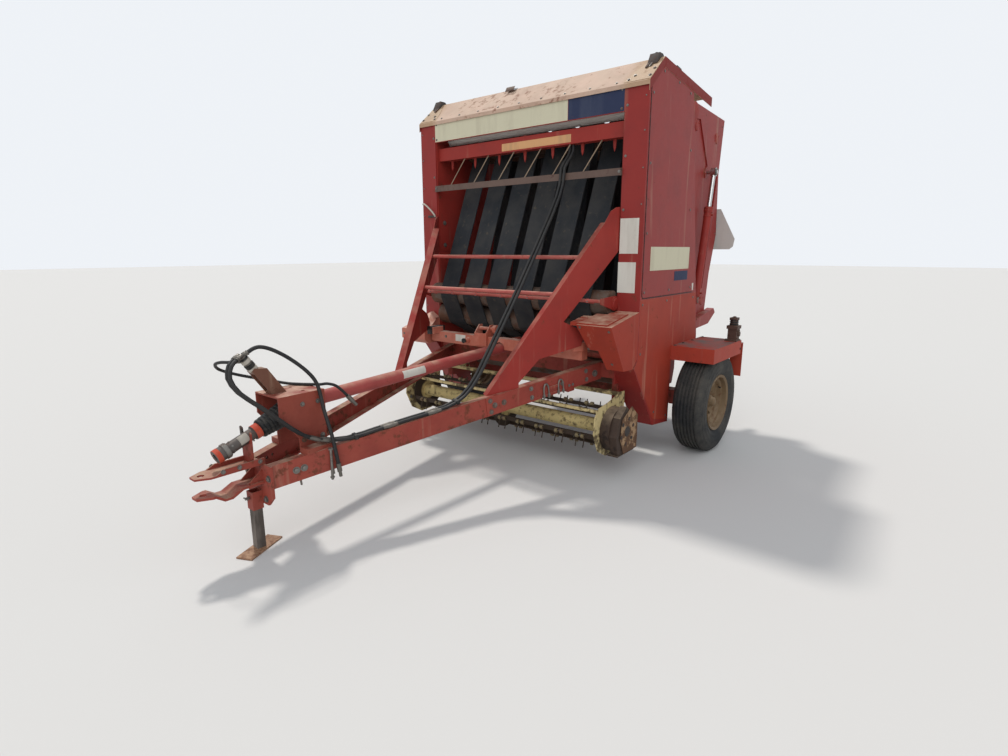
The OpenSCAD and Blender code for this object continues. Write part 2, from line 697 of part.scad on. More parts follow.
module hose_pair() color("black") placed() for (s = [-14, 14])
    tube([for (p = smooth(hose_pair_route, 2)) p + [s, 0, 0]], hose_r);
module hose_arch() color("black") placed() tube(smooth(hose_arch_route, 2), hose_r);
module hose_loop() color("black") placed() tube(smooth(hose_loop_route, 2), loop_r);
// Coupler halves on the bracket's head, with a stub along the start of each hose
module stub(route, l, r) {
    p = smooth(route, 2);
    v = unit(p[1] - p[0]);
    bar(p[0] - l * v, p[0] - gap * v, r);
}
module hose_couplers() color("silver") placed() {
    bar(coupler_low, coupler_high, 22);
    for (s = [-14, 14]) translate([s, 0, 0]) stub(hose_pair_route, 46, 11);
    stub(hose_arch_route, 40, 11);
    stub(hose_loop_route, 30, 9);
}
// Plug at the free end of a hose
module plug_on(route) {
    p = smooth(route, 2);
    n = len(p) - 1;
    v = unit(p[n] - p[n - 1]);
    a = p[n] + gap * v;
    bar(a, a + 46 * v, 13);
    bar(a + 44 * v, a + 76 * v, 9);
}
module loop_plug() color("silver") placed() plug_on(hose_loop_route);
module arch_plug() color("silver") placed() plug_on(hose_arch_route);

// Wheels

module rim(side) {
    on_side(side) translate([track_w / 2, 0, tyre_r]) rotate([0, 90, 0]) difference() {
        rotate_extrude($fn = 72) polygon([[spindle_r + fit, -60], [48, -60], [48, -16], [95, -16], [150, 26],
            [166, 26], [170, -60], [rim_r - 12, -66], [rim_r - 6, -100], [rim_r + 12, -108],
            [rim_r + 14, -100], [rim_r, -96], [rim_r, -60], [rim_r - 16, -40], [rim_r - 16, 40], [rim_r, 60],
            [rim_r, 96], [rim_r + 14, 100], [rim_r + 12, 108], [rim_r - 6, 100], [rim_r - 12, 70],
            [172, 62], [160, 36], [146, 34], [92, -8], [48, -8], [48, 50], [spindle_r + fit, 50]]);
        for (i = [0 : 5]) rotate([0, 0, 60 * i + 30]) translate([122, 0, -40]) cylinder(r = 14, h = 90);
    }
    for (i = [0 : lug_n - 1]) on_side(side) translate([track_w / 2, 0, tyre_r]) rotate([0, 90, 0])
        rotate([0, 0, 360 / lug_n * i]) translate([74, 0, -9]) cylinder(r = 11, h = 18, $fn = 6);
}
module rim_left() color("tan") placed() rim(1);
module rim_right() color("tan") placed() rim(-1);

module tyre(side) {
    hw = tyre_w / 2;
    groove = [for (g = [0 : 5]) let (x = -71 + g * 26) each [[tyre_r, x], [tyre_r - 9, x + 1],
        [tyre_r - 9, x + 11], [tyre_r, x + 12]]];
    on_side(side) translate([track_w / 2, 0, tyre_r]) rotate([0, 90, 0]) rotate_extrude($fn = 72)
        polygon(concat([[rim_r + 0.2, -96], [rim_r + 16, -99.8], [rim_r + 50, -hw + 5], [rim_r + 90, -hw],
            [tyre_r - 50, -hw + 4], [tyre_r - 22, -hw + 14], [tyre_r - 4, -hw + 34]], groove,
            [[tyre_r - 4, hw - 34], [tyre_r - 22, hw - 14], [tyre_r - 50, hw - 4], [rim_r + 90, hw],
            [rim_r + 50, hw - 5], [rim_r + 16, 99.8], [rim_r + 0.2, 96], [rim_r + 0.2, 61],
            [rim_r + 14, 30], [rim_r + 14, -30], [rim_r + 0.2, -61]]));
}
module tyre_left() color("dimgray") placed() tyre(1);
module tyre_right() color("dimgray") placed() tyre(-1);

// Tailgate

// Side sheet with hinge boss, bent lift arm and the folded flap at its foot
module gate_side(side) {
    rear = [[1040, eave_z + 76], [985, eave_z - 360]];
    outline = concat([[242, eave_z - 90], [hinge_y - 40, hinge_z + 20], [380, eave_z + 110]], rear,
        [[1030, 1650], [925, 1320], [870, 960], [750, 880], [245, 860], [262, eave_z - 200]]);
    x1 = gate_x + gate_t;
    on_side(side) difference() {
        union() {
            plate_x(outline, gate_x, gate_t);
            plate_x([rear[0] - [36, 0], rear[0], rear[1], rear[1] - [35, 0]], gate_x - 24, 24);
            cross_bar([hinge_y, hinge_z], gate_x - 4, wall_x - gap, 46);
            plate_x([[hinge_y, hinge_z + 46], [500, hinge_z + 45], [540, hinge_z + 15], cyl_head + [100, 54],
                cyl_head + [70, -16], cyl_head - [30, 46], cyl_head + [-50, 4], cyl_head + [0, 54],
                [480, hinge_z - 30], [hinge_y, hinge_z - 46]], x1, 10);
            plate_x([[480, 850], [830, 872], [985, 960], [945, 1000], [560, 935]], x1, 60);
            plate_x([[700, 1190], [720, 1190], [905, eave_z - 380], [885, eave_z - 370]], x1, 30);
        }
        cross_bar([hinge_y, hinge_z], gate_x - 10, wall_x + 10, hinge_r);
        roller_bores(gate_path, gate_x - 1, x1 + 1);
    }
}
module gate_side_left() color("firebrick") placed() gate_side(1);
module gate_side_right() color("firebrick") placed() gate_side(-1);

// Distance back, height, depth, height of section, half length
gate_tubes = [[962, eave_z - 240, 38, 70, gate_x - 24], [966, 1640, 40, 70, gate_x], [690, 900, 60, 60, gate_x]];
module gate_frame() color("firebrick") placed() {
    for (t = gate_tubes) box([-t[4], t[0], t[1]], [t[4], t[0] + t[2], t[1] + t[3]]);
    box([740, 1006, 1650], [gate_x, 1038, 1700]);
}

module gate_rollers() color("dimgray") placed() rollers(gate_path, gate_x - 12, gate_x + gate_t + 3);

module belts_gate() color("darkslategray") placed() belts(gate_path);

// Blank plate of the moving vehicle triangle, seen from its back
module gate_plate() color("silver") placed() {
    plate_y([[600, 1540], [625, 1520], [945, 1520], [975, 1545], [985, 1610], [845, 1870], [725, 1870],
        [590, 1610]], 1038, 2);
    plate_y([[755, 1600], [815, 1600], [815, 1760], [755, 1760]], 1040, tail_tip_y - 1040);
}

// Tailgate cylinders

cyl_a = [cyl_x, cyl_foot[0], cyl_foot[1]];
module cylinder_barrel(side) {
    on_side(side) difference() {
        union() {
            bar(cyl_a + 26 * cyl_dir, cyl_a + barrel_l * cyl_dir, barrel_r);
            bar(cyl_a + (barrel_l - 30) * cyl_dir, cyl_a + (barrel_l + 12) * cyl_dir, barrel_r + 5);
            cross_bar(cyl_foot, cyl_x - 20, cyl_x + 20, 34);
        }
        cross_bar(cyl_foot, cyl_x - 21, cyl_x + 21, 13);
        bar(cyl_a + 70 * cyl_dir, cyl_a + (barrel_l + 20) * cyl_dir, rod_r + fit);
    }
    // Ports for the two oil lines
    for (d = [60, barrel_l - 50]) on_side(side)
        bar(cyl_a + d * cyl_dir + [barrel_r - 2, 0, 0], cyl_a + d * cyl_dir + [barrel_r + 16, 0, 0], 9);
}
module cylinder_barrel_left() color("firebrick") placed() cylinder_barrel(1);
module cylinder_barrel_right() color("firebrick") placed() cylinder_barrel(-1);

// Rod with its eye and the pin that meets the lift arm
module cylinder_rod(side) {
    on_side(side) {
        bar(cyl_a + 100 * cyl_dir, cyl_a + (cyl_len - 20) * cyl_dir, rod_r);
        cross_bar(cyl_head, cyl_x - 20, cyl_x + 20, 34);
        cross_bar(cyl_head, gate_x + gate_t + 10 + gap, cyl_x + 30, 15);
    }
}
module cylinder_rod_left() color("silver") placed() cylinder_rod(1);
module cylinder_rod_right() color("silver") placed() cylinder_rod(-1);

// Jack leg on its foot plate
module jack_leg() color("gray") placed() difference() {
    h = jack_w / 2;
    union() {
        box([-h, jack_y - h, 6], [h, jack_y + h, 283]);
        translate([0, jack_y, 0]) rotate([0, 0, 25]) box([-46, -125, 0], [46, 125, 8]);
    }
    box([-h + 5, jack_y - h + 5, 12], [h - 5, jack_y + h - 5, 284]);
}

// Pickup

module pickup_frame() color("goldenrod") placed() {
    side = [[-770, 520], [-775, 560], [-830, 565], [-1000, 520], [-1120, 505], [-1165, 455], [-1180, 340],
        [-1120, 210], [-1010, 150], [-890, 160], [-800, 250]];
    both_sides() {
        difference() {
            plate_x(side, reel_side_x, 6);
            cross_bar([reel_y, reel_z], reel_side_x - 1, reel_side_x + 7, shaft_r + fit);
        }
        difference() {
            union() {
                plate_x([[pivot_y - 10, pivot_z - 30], [pivot_y + 10, pivot_z + 30],
                    [pickup_tube[0], pickup_tube[1] + 16], [pickup_tube[0] - 14, pickup_tube[1]],
                    [pickup_tube[0], pickup_tube[1] - 16]], arm_x, 8);
                cross_bar([pivot_y, pivot_z], arm_x, wall_x - rail_w - gap, 32);
            }
            cross_bar([pivot_y, pivot_z], arm_x - 1, wall_x - rail_w + 1, pivot_r);
        }
    }
    cross_bar(pickup_tube, -reel_side_x, reel_side_x, 16);
    cross_bar([-1132, 484], -reel_side_x, reel_side_x, 12);
}

// Drum-shaped end shield at the left with its outer cap
module pickup_cap() color("peru") placed() {
    x0 = reel_side_x + 6;
    difference() {
        union() {
            cross_bar([reel_y, reel_z], x0, x0 + 70, 152);
            plate_x([[-852, 270], [-880, 186], [-1066, 190], [-1100, 320], [-1050, 440], [-962, 505],
                [-872, 430]], x0 + 70, 49);
            plate_x([[-850, 183], [-1080, 183], [-1080, 191], [-850, 191]], x0 + 40, 84);
        }
        cross_bar([reel_y, reel_z], x0 - 1, x0 + 22, 40);
    }
}

// Reel: shaft drum, end discs and flat tine bars with trailing double tines
module pickup_reel() color("khaki") placed() translate([0, reel_y, reel_z]) rotate([0, 90, 0]) {
    bar_half = reel_side_x - 25;
    cylinder(r = 48, h = 2 * bar_half, center = true);
    cylinder(r = shaft_r, h = 2 * reel_side_x + 24, center = true);
    for (x = [-bar_half, 0, bar_half]) translate([0, 0, x]) cylinder(r = tine_bar_r + 8, h = 6, center = true);
    for (b = [0 : tine_bar_n - 1]) rotate([0, 0, 16 + 180 - b * 360 / tine_bar_n + 90]) {
        translate([tine_bar_r - 4, -18, -bar_half]) cube([8, 36, 2 * bar_half]);
        for (i = [0 : tine_n - 1], s = [-1, 1])
            translate([tine_bar_r, 0, (i - (tine_n - 1) / 2) * tine_pitch + s * 30])
                rotate([0, 0, 60]) rotate([0, 90, 0]) cylinder(d = tine_d, h = tine_l, $fn = 8);
    }
}

// Front driveline: shaft, its yoke and the cone guard

module pto_shaft() color("gray") placed() difference() {
    union() {
        bar(pto_pivot, pto_pivot + (pto_len - 60) * pto_dir, pto_shaft_r);
        bar(pto_pivot + 191 * pto_dir, pto_pivot + 226 * pto_dir, 38);
        bar(pto_pivot + (pto_len - 70) * pto_dir, pto_pivot + pto_len * pto_dir, 36);
        cross_bar([pto_pivot[1], pto_pivot[2]], -46, 46, joint_pin_r);
    }
    bar(pto_pivot + (pto_len - 55) * pto_dir, pto_pivot + (pto_len + 5) * pto_dir, 17.5);
}

module pto_guard() color("black") placed() difference() {
    translate(pto_pivot + 30 * pto_dir) rotate([180 - acos(-pto_dir[2]), 0, 0]) difference() {
        cylinder(r1 = 64, r2 = 46, h = 160);
        translate([0, 0, -1]) cylinder(r1 = 59, r2 = 42, h = 150);
    }
    bar(pto_pivot, pto_pivot + 250 * pto_dir, pto_shaft_r);
}

chassis();
axle();
side_housing_left();
side_housing_right();
chamber_wall_left();
chamber_wall_right();
roof();
header_board();
header_tube();
header_rods();
crossbar();
belt_guide();
front_rollers();
belts_front();
floor_rollers();
beam_left();
beam_right();
strut_left();
strut_right();
rungs();
hitch();
jack_sleeve();
driveline_stand();
driveline_tube();
gearbox();
hose_bracket();
twine_box();
side_hood();
cross_channel();
fender_left();
fender_right();
fender_block();
hose_pair();
hose_arch();
hose_loop();
loop_plug();
arch_plug();
hose_couplers();
rim_left();
rim_right();
tyre_left();
tyre_right();
gate_side_left();
gate_side_right();
gate_frame();
gate_rollers();
belts_gate();
gate_plate();
cylinder_barrel_left();
cylinder_barrel_right();
cylinder_rod_left();
cylinder_rod_right();
jack_leg();
pickup_frame();
pickup_cap();
pickup_reel();
pto_shaft();
pto_guard();
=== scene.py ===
import math

import bmesh
import bpy
from bpy.props import FloatProperty, FloatVectorProperty, PointerProperty
from mathutils import Matrix, Vector


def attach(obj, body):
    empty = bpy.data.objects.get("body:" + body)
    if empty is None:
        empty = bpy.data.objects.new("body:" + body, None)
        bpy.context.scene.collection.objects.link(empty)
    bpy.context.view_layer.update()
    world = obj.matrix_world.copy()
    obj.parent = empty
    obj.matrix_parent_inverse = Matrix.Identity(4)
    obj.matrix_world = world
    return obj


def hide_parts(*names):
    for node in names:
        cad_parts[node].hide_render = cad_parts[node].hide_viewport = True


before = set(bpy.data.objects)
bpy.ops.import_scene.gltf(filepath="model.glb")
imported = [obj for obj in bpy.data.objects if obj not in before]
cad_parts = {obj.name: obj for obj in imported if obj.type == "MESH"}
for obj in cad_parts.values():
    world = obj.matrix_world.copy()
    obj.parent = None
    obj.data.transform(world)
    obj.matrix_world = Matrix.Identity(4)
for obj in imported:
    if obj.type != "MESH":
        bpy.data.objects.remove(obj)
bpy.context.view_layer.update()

bl_info = {
    "name": "Round baler dressing",
    "version": (1, 0, 0),
    "blender": (4, 5, 0),
    "location": "View3D > Sidebar > Baler",
    "description": "Finishes, trim, hoses and stage for a round baler",
    "category": "Object",
}

AXLE_Y = 1.123          # the axle's place behind the middle of the length
X = Vector((1, 0, 0))
UP = Vector((0, 0, 1))
FRONT = Vector((0, -1, 0))
BOTH = (1, -1)          # the machine's left side, then its right
SIDES = ((1, "left"), (-1, "right"))


def at(x, y, z):
    """A point given from the axle, in metres, in the row frame."""
    return Vector((x, y + AXLE_Y, z))


def linear(hex_colour):
    """A written colour as linear values for a shader."""
    channels = [int(hex_colour[i:i + 2], 16) / 255 for i in (1, 3, 5)]
    return tuple(c / 12.92 if c <= 0.04045 else ((c + 0.055) / 1.055) ** 2.4 for c in channels) + (1.0,)


def around(count, start=0.0):
    """Angles spread evenly over a full turn."""
    return [start + k * math.tau / count for k in range(count)]


# ---- shader building

class Term:
    """A socket with operators that add Math nodes."""

    def __init__(self, tree, socket):
        self.tree, self.socket = tree, socket

    def math(self, operation, *others, clamp=False):
        return add_node(self.tree, "Math", dict(enumerate((self,) + others)), operation=operation, use_clamp=clamp)

    def __add__(self, other): return self.math("ADD", other)
    def __mul__(self, other): return self.math("MULTIPLY", other)
    def __sub__(self, other): return self.math("SUBTRACT", other)
    def __pow__(self, other): return self.math("POWER", other)
    def __rsub__(self, other): return add_node(self.tree, "Math", {0: other, 1: self}, operation="SUBTRACT")
    __radd__, __rmul__ = __add__, __mul__

    def clamp(self): return self.math("ADD", 0.0, clamp=True)


def put(tree, socket, value):
    """Links or writes one input."""
    if isinstance(value, Term):
        tree.links.new(value.socket, socket)
    else:
        socket.default_value = value


def add_node(tree, kind, inputs=(), output=0, **settings):
    """A shader node with its settings and inputs, given back as one of its outputs."""
    node = tree.nodes.new("ShaderNode" + kind)
    for key, value in settings.items():
        setattr(node, key, value)
    for key, value in dict(inputs).items():
        put(tree, node.inputs[key], value)
    return Term(tree, node.outputs[output]) if node.outputs else None


class Finish:
    """One material under construction, with a principled shader at its end."""

    def __init__(self, name, roughness=0.6, metallic=0.0):
        self.material = bpy.data.materials.new(name)
        self.material.use_nodes = True
        self.tree = self.material.node_tree
        self.tree.nodes.clear()
        self.shader = self.tree.nodes.new("ShaderNodeBsdfPrincipled")
        self.node("OutputMaterial", {"Surface": Term(self.tree, self.shader.outputs[0])})
        self.set(roughness=roughness, metallic=metallic, specular_ior_level=0.5 if metallic else 0.32)

    def node(self, kind, inputs=(), output=0, **settings):
        return add_node(self.tree, kind, inputs, output, **settings)

    def set(self, **values):
        """Links or writes the shader's own inputs."""
        names = {"specular_ior_level": "Specular IOR Level"}
        for key, value in values.items():
            put(self.tree, self.shader.inputs[names.get(key, key.replace("_", " ").title())], value)

    def noise(self, scale, detail=4.0, rough=0.55, stretch=(1, 1, 1), shift=(0, 0, 0), distortion=0.0):
        coords = self.node("TexCoord", output="Object")
        place = self.node("Mapping", {"Vector": coords, "Scale": stretch, "Location": shift})
        return self.node("TexNoise", {"Vector": place, "Scale": scale, "Detail": detail, "Roughness": rough,
                                      "Distortion": distortion})

    def band(self, value, low, high):
        """0 below low, 1 above high."""
        return self.node("MapRange", {"Value": value, "From Min": low, "From Max": high}, clamp=True)

    def mix(self, factor, first, second):
        """A mix of two colours, whose sockets are the Mix node's seventh and eighth."""
        return self.node("Mix", {0: factor, 6: first, 7: second}, output=2, data_type="RGBA")

    def facing(self, axis):
        """How far a face looks along one axis, -1 to 1."""
        return self.node("SeparateXYZ", {0: self.node("NewGeometry", output="Normal")}, output=axis)

    def along(self, axis):
        """The place on one axis, in metres."""
        return self.node("SeparateXYZ", {0: self.node("TexCoord", output="Object")}, output=axis)

    def done(self, colour, roughness, height, strength, distance):
        """Sets colour, roughness and relief, and gives the material back."""
        relief = self.node("Bump", {"Height": height, "Strength": strength, "Distance": distance})
        self.set(base_color=colour, roughness=roughness.clamp(), normal=relief)
        return self.material


def weathered_paint(name, body, faded, rust_amount, fade=0.5, top_dust_and_shade_amount=0.5, rust="#5E3422", dust="#B7A288",
                    streaks=True, roughness=0.62, verge=None, ends=None):
    """Old enamel: chalky fading, rust through the film, dust on what looks up, streaks down the sides; on the fender
    the colour on what looks up is dark, a painted shadow of the body.

    verge is a colour for what looks sideways, ends one for the outer lengths of a wide sheet.
    """
    f = Finish(name, roughness)
    body, rust, dust = linear(body), linear(rust), linear(dust)
    grime = (0.02, 0.012, 0.012, 1)
    broad = f.noise(1.7, 5.0, 0.6)
    fine = f.noise(38.0, 6.0, 0.62)
    chalk = f.band(broad + 0.35 * fine, 0.72 - 0.3 * fade, 0.98)
    colour = f.mix(chalk * fade, body, linear(faded))
    colour = f.mix(f.band(f.noise(6.0, 3.0), 0.45, 0.75) * 0.35, colour, f.mix(0.5, body, grime))
    if streaks:
        runs = f.noise(14.0, 4.0, 0.6, stretch=(1.0, 1.0, 0.07))
        colour = f.mix(f.band(runs, 0.60, 0.80) * 0.35, colour, dust)
    spots = f.noise(21.0, 7.0, 0.62)
    patch = f.noise(2.3, 2.0, 0.5, shift=(3.1, 1.7, 0.4))
    rusted = f.band(spots + 0.55 * patch, 1.02 - 0.35 * rust_amount, 1.13 - 0.35 * rust_amount)
    colour = f.mix(rusted * 0.85, colour, rust)
    # What looks up takes the dust colour: real dust on most finishes, and on the fender a dark colour that is painted
    # shadow of the body.
    top_dust_and_painted_shade = f.band(f.facing("Z"), 0.35, 0.9) * f.band(f.noise(9.0, 5.0), 0.36, 0.66) * top_dust_and_shade_amount
    colour = f.mix(top_dust_and_painted_shade, colour, dust)
    if ends:
        worn = f.band(f.along("X").math("ABSOLUTE") + 0.16 * broad, 0.88, 0.95)
        colour = f.mix(worn * 0.75, colour, linear(ends))
    if verge:
        colour = f.mix(f.band(f.facing("X").math("ABSOLUTE"), 0.60, 0.80), colour, linear(verge))
    return f.done(colour, roughness + 0.18 * rusted + 0.14 * top_dust_and_painted_shade + 0.12 * (fine - 0.5),
                  fine * 0.35 + spots * 0.35 - rusted * 0.6, 0.28, 0.0016)


def bare_metal(name, body, rust_amount, roughness=0.45, metallic=0.85):
    """Steel with a dark grain, and rust that takes its shine away."""
    f = Finish(name, roughness, metallic)
    grain = f.noise(60.0, 5.0, 0.6)
    patches = f.noise(7.0, 6.0, 0.65)
    rusted = f.band(patches + 0.25 * grain, 0.86 - 0.4 * rust_amount, 0.98 - 0.3 * rust_amount)
    f.set(metallic=(metallic - 0.75 * rusted).clamp())
    return f.done(f.mix(rusted, f.mix(grain * 0.5, linear(body), (0.10, 0.09, 0.085, 1)), linear("#5A3A28")),
                  roughness + 0.35 * rusted + 0.1 * grain, grain * 0.5 + rusted * 0.6, 0.25, 0.001)


def reel_paint(name):
    """Old paint on the reel: pale near its axis, dark on its bars and tines."""
    f = Finish(name, 0.65)
    back, up = f.along("Y") - REEL.y, f.along("Z") - REEL.z
    fine = f.noise(30.0, 6.0, 0.65)
    colour = f.mix(f.band((back * back + up * up) ** 0.5, 0.070, 0.086), linear("#BDA973"), linear("#352A20"))
    colour = f.mix(f.band(fine, 0.50, 0.66) * 0.8, colour, linear("#3A2B20"))
    return f.done(colour, 0.65 + 0.2 * fine, fine, 0.3, 0.0015)


def drum_steel(name):
    """Worn drums, dull and rusty, with the upper guide drum painted near white, a painted highlight standing for
    sunlight on it.
    """
    f = Finish(name, 0.55)
    grain = f.noise(60.0, 5.0, 0.6)
    patches = f.noise(7.0, 6.0, 0.65)
    # The upper guide drum is picked out here and painted near white with a few patches: painted sunlight on a drum that
    # lies in the roof's shade.
    bright = f.band(f.along("Z"), 2.31, 2.33) * (1.0 - f.band(f.along("Y"), AXLE_Y - 0.60, AXLE_Y - 0.59))
    dull = f.mix(f.band(patches + 0.25 * grain, 0.50, 0.75), linear("#61564D"), linear("#5A3A28"))
    painted_sunlight_colour = f.mix(f.band(patches, 0.60, 0.76), linear("#F0ECE4"), linear("#A8927C"))
    return f.done(f.mix(bright, dull, painted_sunlight_colour), 0.50 + 0.3 * patches, grain * 0.5, 0.25, 0.001)


def jack_steel(name):
    """The jack: a dark worn leg on a faded foot plate."""
    f = Finish(name, 0.6)
    fine = f.noise(45.0, 6.0, 0.65)
    runs = f.noise(16.0, 5.0, 0.6, stretch=(1.0, 1.0, 0.2))
    leg = f.mix(f.band(runs, 0.42, 0.66), linear("#4E4640"), linear("#7B726A"))
    foot = f.mix(f.band(fine, 0.40, 0.62), linear("#A07E62"), linear("#74503A"))
    return f.done(f.mix(f.band(f.along("Z"), 0.0095, 0.0105), foot, leg), 0.55 + 0.3 * fine, fine, 0.3, 0.0012)


def belt_rubber(name):
    """Woven rubber with dust and a few muddy patches."""
    f = Finish(name, 0.72)
    weave = f.noise(220.0, 2.0, 0.5, stretch=(1.0, 0.35, 0.35))
    dust = f.noise(5.0, 6.0, 0.6)
    colour = f.mix(f.band(dust, 0.40, 0.72) * 0.55, linear("#1F2226"), linear("#4A4743"))
    colour = f.mix(f.band(f.noise(24.0, 5.0), 0.62, 0.8) * 0.4, colour, linear("#77664F"))
    return f.done(colour, 0.62 + 0.25 * dust, weave, 0.35, 0.0012)


def old_rubber(name, body, dust, amount, roughness):
    """Plain rubber, dusty in patches."""
    f = Finish(name, roughness)
    fine = f.noise(70.0, 5.0, 0.6)
    dusty = f.band(f.noise(5.0, 5.0, 0.6) + 0.3 * fine, 0.52, 0.92) * amount
    return f.done(f.mix(dusty, linear(body), linear(dust)), roughness + 0.12 * dusty, fine, 0.3, 0.0012)


def plain_plastic(name, body, roughness=0.5):
    """Plastic or rubber of one colour with a little dirt."""
    f = Finish(name, roughness)
    fine = f.noise(45.0, 4.0)
    return f.done(f.mix(f.band(fine, 0.45, 0.8) * 0.25, linear(body), linear("#8B8377")), roughness + 0.2 * fine,
                  fine, 0.12, 0.0008)


def worn_panel(name, body, amount=0.5, dirt="#7C6A58"):
    """A flat painted or foil panel with scuffs and dirt runs."""
    f = Finish(name, 0.55)
    fine = f.noise(55.0, 6.0, 0.65)
    runs = f.noise(9.0, 5.0, 0.6, stretch=(1.0, 1.0, 0.12))
    scuffs = f.band(f.noise(26.0, 8.0, 0.75, distortion=1.2), 0.60, 0.72)
    colour = f.mix(f.band(runs, 0.48, 0.80) * amount, linear(body), linear(dirt))
    return f.done(f.mix(scuffs * 0.6 * amount, colour, linear("#6A3A30")), 0.55 + 0.25 * fine, fine, 0.15, 0.0008)


def make_materials():
    """All finishes by name; a paint's numbers are its rust, fading and dust (on the fender, painted shadow), a metal's
    its rust, roughness, metal.
    """
    paint, metal, panel = weathered_paint, bare_metal, worn_panel
    return {
        "red": paint("red_enamel", "#8E2A22", "#9C4035", 0.26, 0.34),
        "red_clean": paint("red_enamel_sides", "#882722", "#93372F", 0.14, 0.30, 0.3, roughness=0.5),
        "red_low": paint("red_enamel_low", "#963220", "#A44B36", 0.14, 0.35, 0.85, dust="#D3B499"),
        "red_board": paint("red_board_edge", "#8E2E28", "#A24A3E", 0.2),
        "red_worn": paint("red_enamel_worn", "#883329", "#A35846", 0.58, 0.5, 0.7),
        "red_bright": paint("red_enamel_rungs", "#A4443C", "#C27B70", 0.34, 0.7),
        "salmon": paint("salmon_faded", "#AC5843", "#C98F7C", 0.2, 0.8, 0.9, dust="#DABBA8"),
        "red_stand": paint("red_stand_worn", "#86382A", "#9E5A48", 0.34, 0.5, 0.9, dust="#CDAE98"),
        "red_shield": paint("red_shield_tube", "#A04440", "#B4625A", 0.25, streaks=False),
        # The fender's dark grey-brown colour on what looks up is painted shadow of the body on its top, not dust.
        "fender": paint("fender_enamel", "#9C3524", "#AE5138", 0.16, 0.35, 1.0, dust="#6E5F5A"),
        "roof": paint("faded_roof", "#BB9B86", "#CDB7A4", 0.5, 0.7, rust="#7C5240", dust="#B9A793", streaks=False,
                      roughness=0.7, verge="#7C2C28", ends="#A98B6C"),
        "roof_plate": paint("roof_end_plate", "#A98B6C", "#BFA283", 0.35, 0.6, rust="#7A5440", streaks=False),
        "brown": paint("brown_rusted", "#6A4232", "#82604E", 0.5, 0.6, rust="#45291E"),
        "dark_brown": paint("dark_rusted", "#463129", "#62483C", 0.5, 0.6, rust="#2E1E18"),
        "taupe": paint("taupe_rusted", "#5A473F", "#7A665B", 0.4, 0.6, rust="#4A3028"),
        "tan": paint("tan_paint", "#87735F", "#A08D77", 0.45, 0.6),
        "rim": paint("rim_paint", "#6C573E", "#836E51", 0.5, rust="#5B3B26"),
        "pickup": paint("pickup_paint", "#C0AC78", "#D6C79A", 0.75, 0.6, rust="#3C2C1F", dust="#8C7A5E"),
        "cap": paint("cap_rusted", "#32261F", "#4C3A2E", 0.6, 0.6, rust="#201713"),
        "cap_face": paint("cap_peeling", "#8C6B4C", "#B0926F", 0.95, 0.6, rust="#4A2F20"),
        "cream": panel("cream_panel", "#C6C0A6", 0.35),
        "navy": panel("navy_panel", "#232C48", 0.35, "#565C69"),
        "grey_plate": panel("grey_plate", "#C2BFB8", 0.4, "#928A80"),
        "label": panel("pale_label", "#CFCBC0"),
        "dirty_label": panel("dirty_label", "#A8A196", 0.9, "#5A4D42"),
        "amber_label": panel("amber_label", "#CB9A6B", 0.6),
        "dark_steel": metal("dark_steel", "#3C3531", 0.6, 0.6, 0.5),
        "steel": metal("worn_steel", "#84807A", 0.55),
        "shaft": metal("shaft_steel", "#5B5450", 0.6, 0.5, 0.6),
        "coupler": metal("coupler_steel", "#716D66", 0.45, 0.42),
        "chrome": metal("cylinder_rod_steel", "#C9C9C6", 0.12, 0.18, 1.0),
        "tine": metal("tine_wire", "#8A7A55", 0.6, 0.5, 0.5),
        "belt": belt_rubber("belt_rubber"),
        "drum": drum_steel("drum_steel"),
        "jack": jack_steel("jack_steel"),
        "reel": reel_paint("reel_paint"),
        "tyre": old_rubber("tyre_rubber", "#1E2022", "#6B655B", 0.5, 0.78),
        "hose": old_rubber("hose_rubber", "#17181A", "#4E4A44", 0.35, 0.55),
        "pale_grip": plain_plastic("pale_grip", "#B9B2A6", 0.55),
        "guard": plain_plastic("guard_plastic", "#151617"),
        "orange": plain_plastic("orange_collar", "#B5432B", 0.6),
    }


# The CAD nodes of each finish
NODE_FINISH = {
    "red_clean": "side_housing_left side_housing_right gate_side_left gate_side_right",
    "red": "chamber_wall_left chamber_wall_right header_tube strut_left strut_right gate_frame cylinder_barrel_left "
           "cylinder_barrel_right",
    "red_low": "twine_box",
    "red_stand": "driveline_stand",
    "salmon": "side_hood cross_channel",
    "red_bright": "rungs belt_guide",
    "fender": "fender_left fender_right",
    "red_worn": "chassis axle beam_left beam_right hitch jack_sleeve gearbox",
    "red_shield": "driveline_tube",
    "roof": "roof",
    "brown": "hose_bracket",
    "dark_brown": "fender_block",
    "taupe": "crossbar",
    "tan": "header_rods",
    "red_board": "header_board",
    "grey_plate": "gate_plate",
    "belt": "belts_front belts_gate",
    "drum": "front_rollers floor_rollers gate_rollers",
    "hose": "hose_pair",
    "coupler": "hose_couplers loop_plug arch_plug",
    "rim": "rim_left rim_right",
    "tyre": "tyre_left tyre_right",
    "chrome": "cylinder_rod_left cylinder_rod_right",
    "jack": "jack_leg",
    "shaft": "pto_shaft",
    "pickup": "pickup_frame",
    "cap": "pickup_cap",
    "reel": "pickup_reel",
    "guard": "pto_guard",
}
# The slot named for each finish, looked up where a piece's line names no other; nothing puts it on the piece
FINISH_SLOT = {finish: slot for slot, finishes in {
    "red_paint": "red red_clean red_low red_worn red_shield orange cap_face",
    "roof_paint": "roof_plate dark_brown",
    "cream_paint": "cream label dirty_label amber_label",
    "plate_grey": "navy",
    "bare_steel": "steel dark_steel pale_grip",
    "coupler_steel": "coupler",
    "tine_yellow": "tine",
    "rim_paint": "rim",
    "tyre_rubber": "tyre",
    "hose_rubber": "hose guard",
}.items() for finish in finishes.split()}
MATS = {}


# ---- mesh building

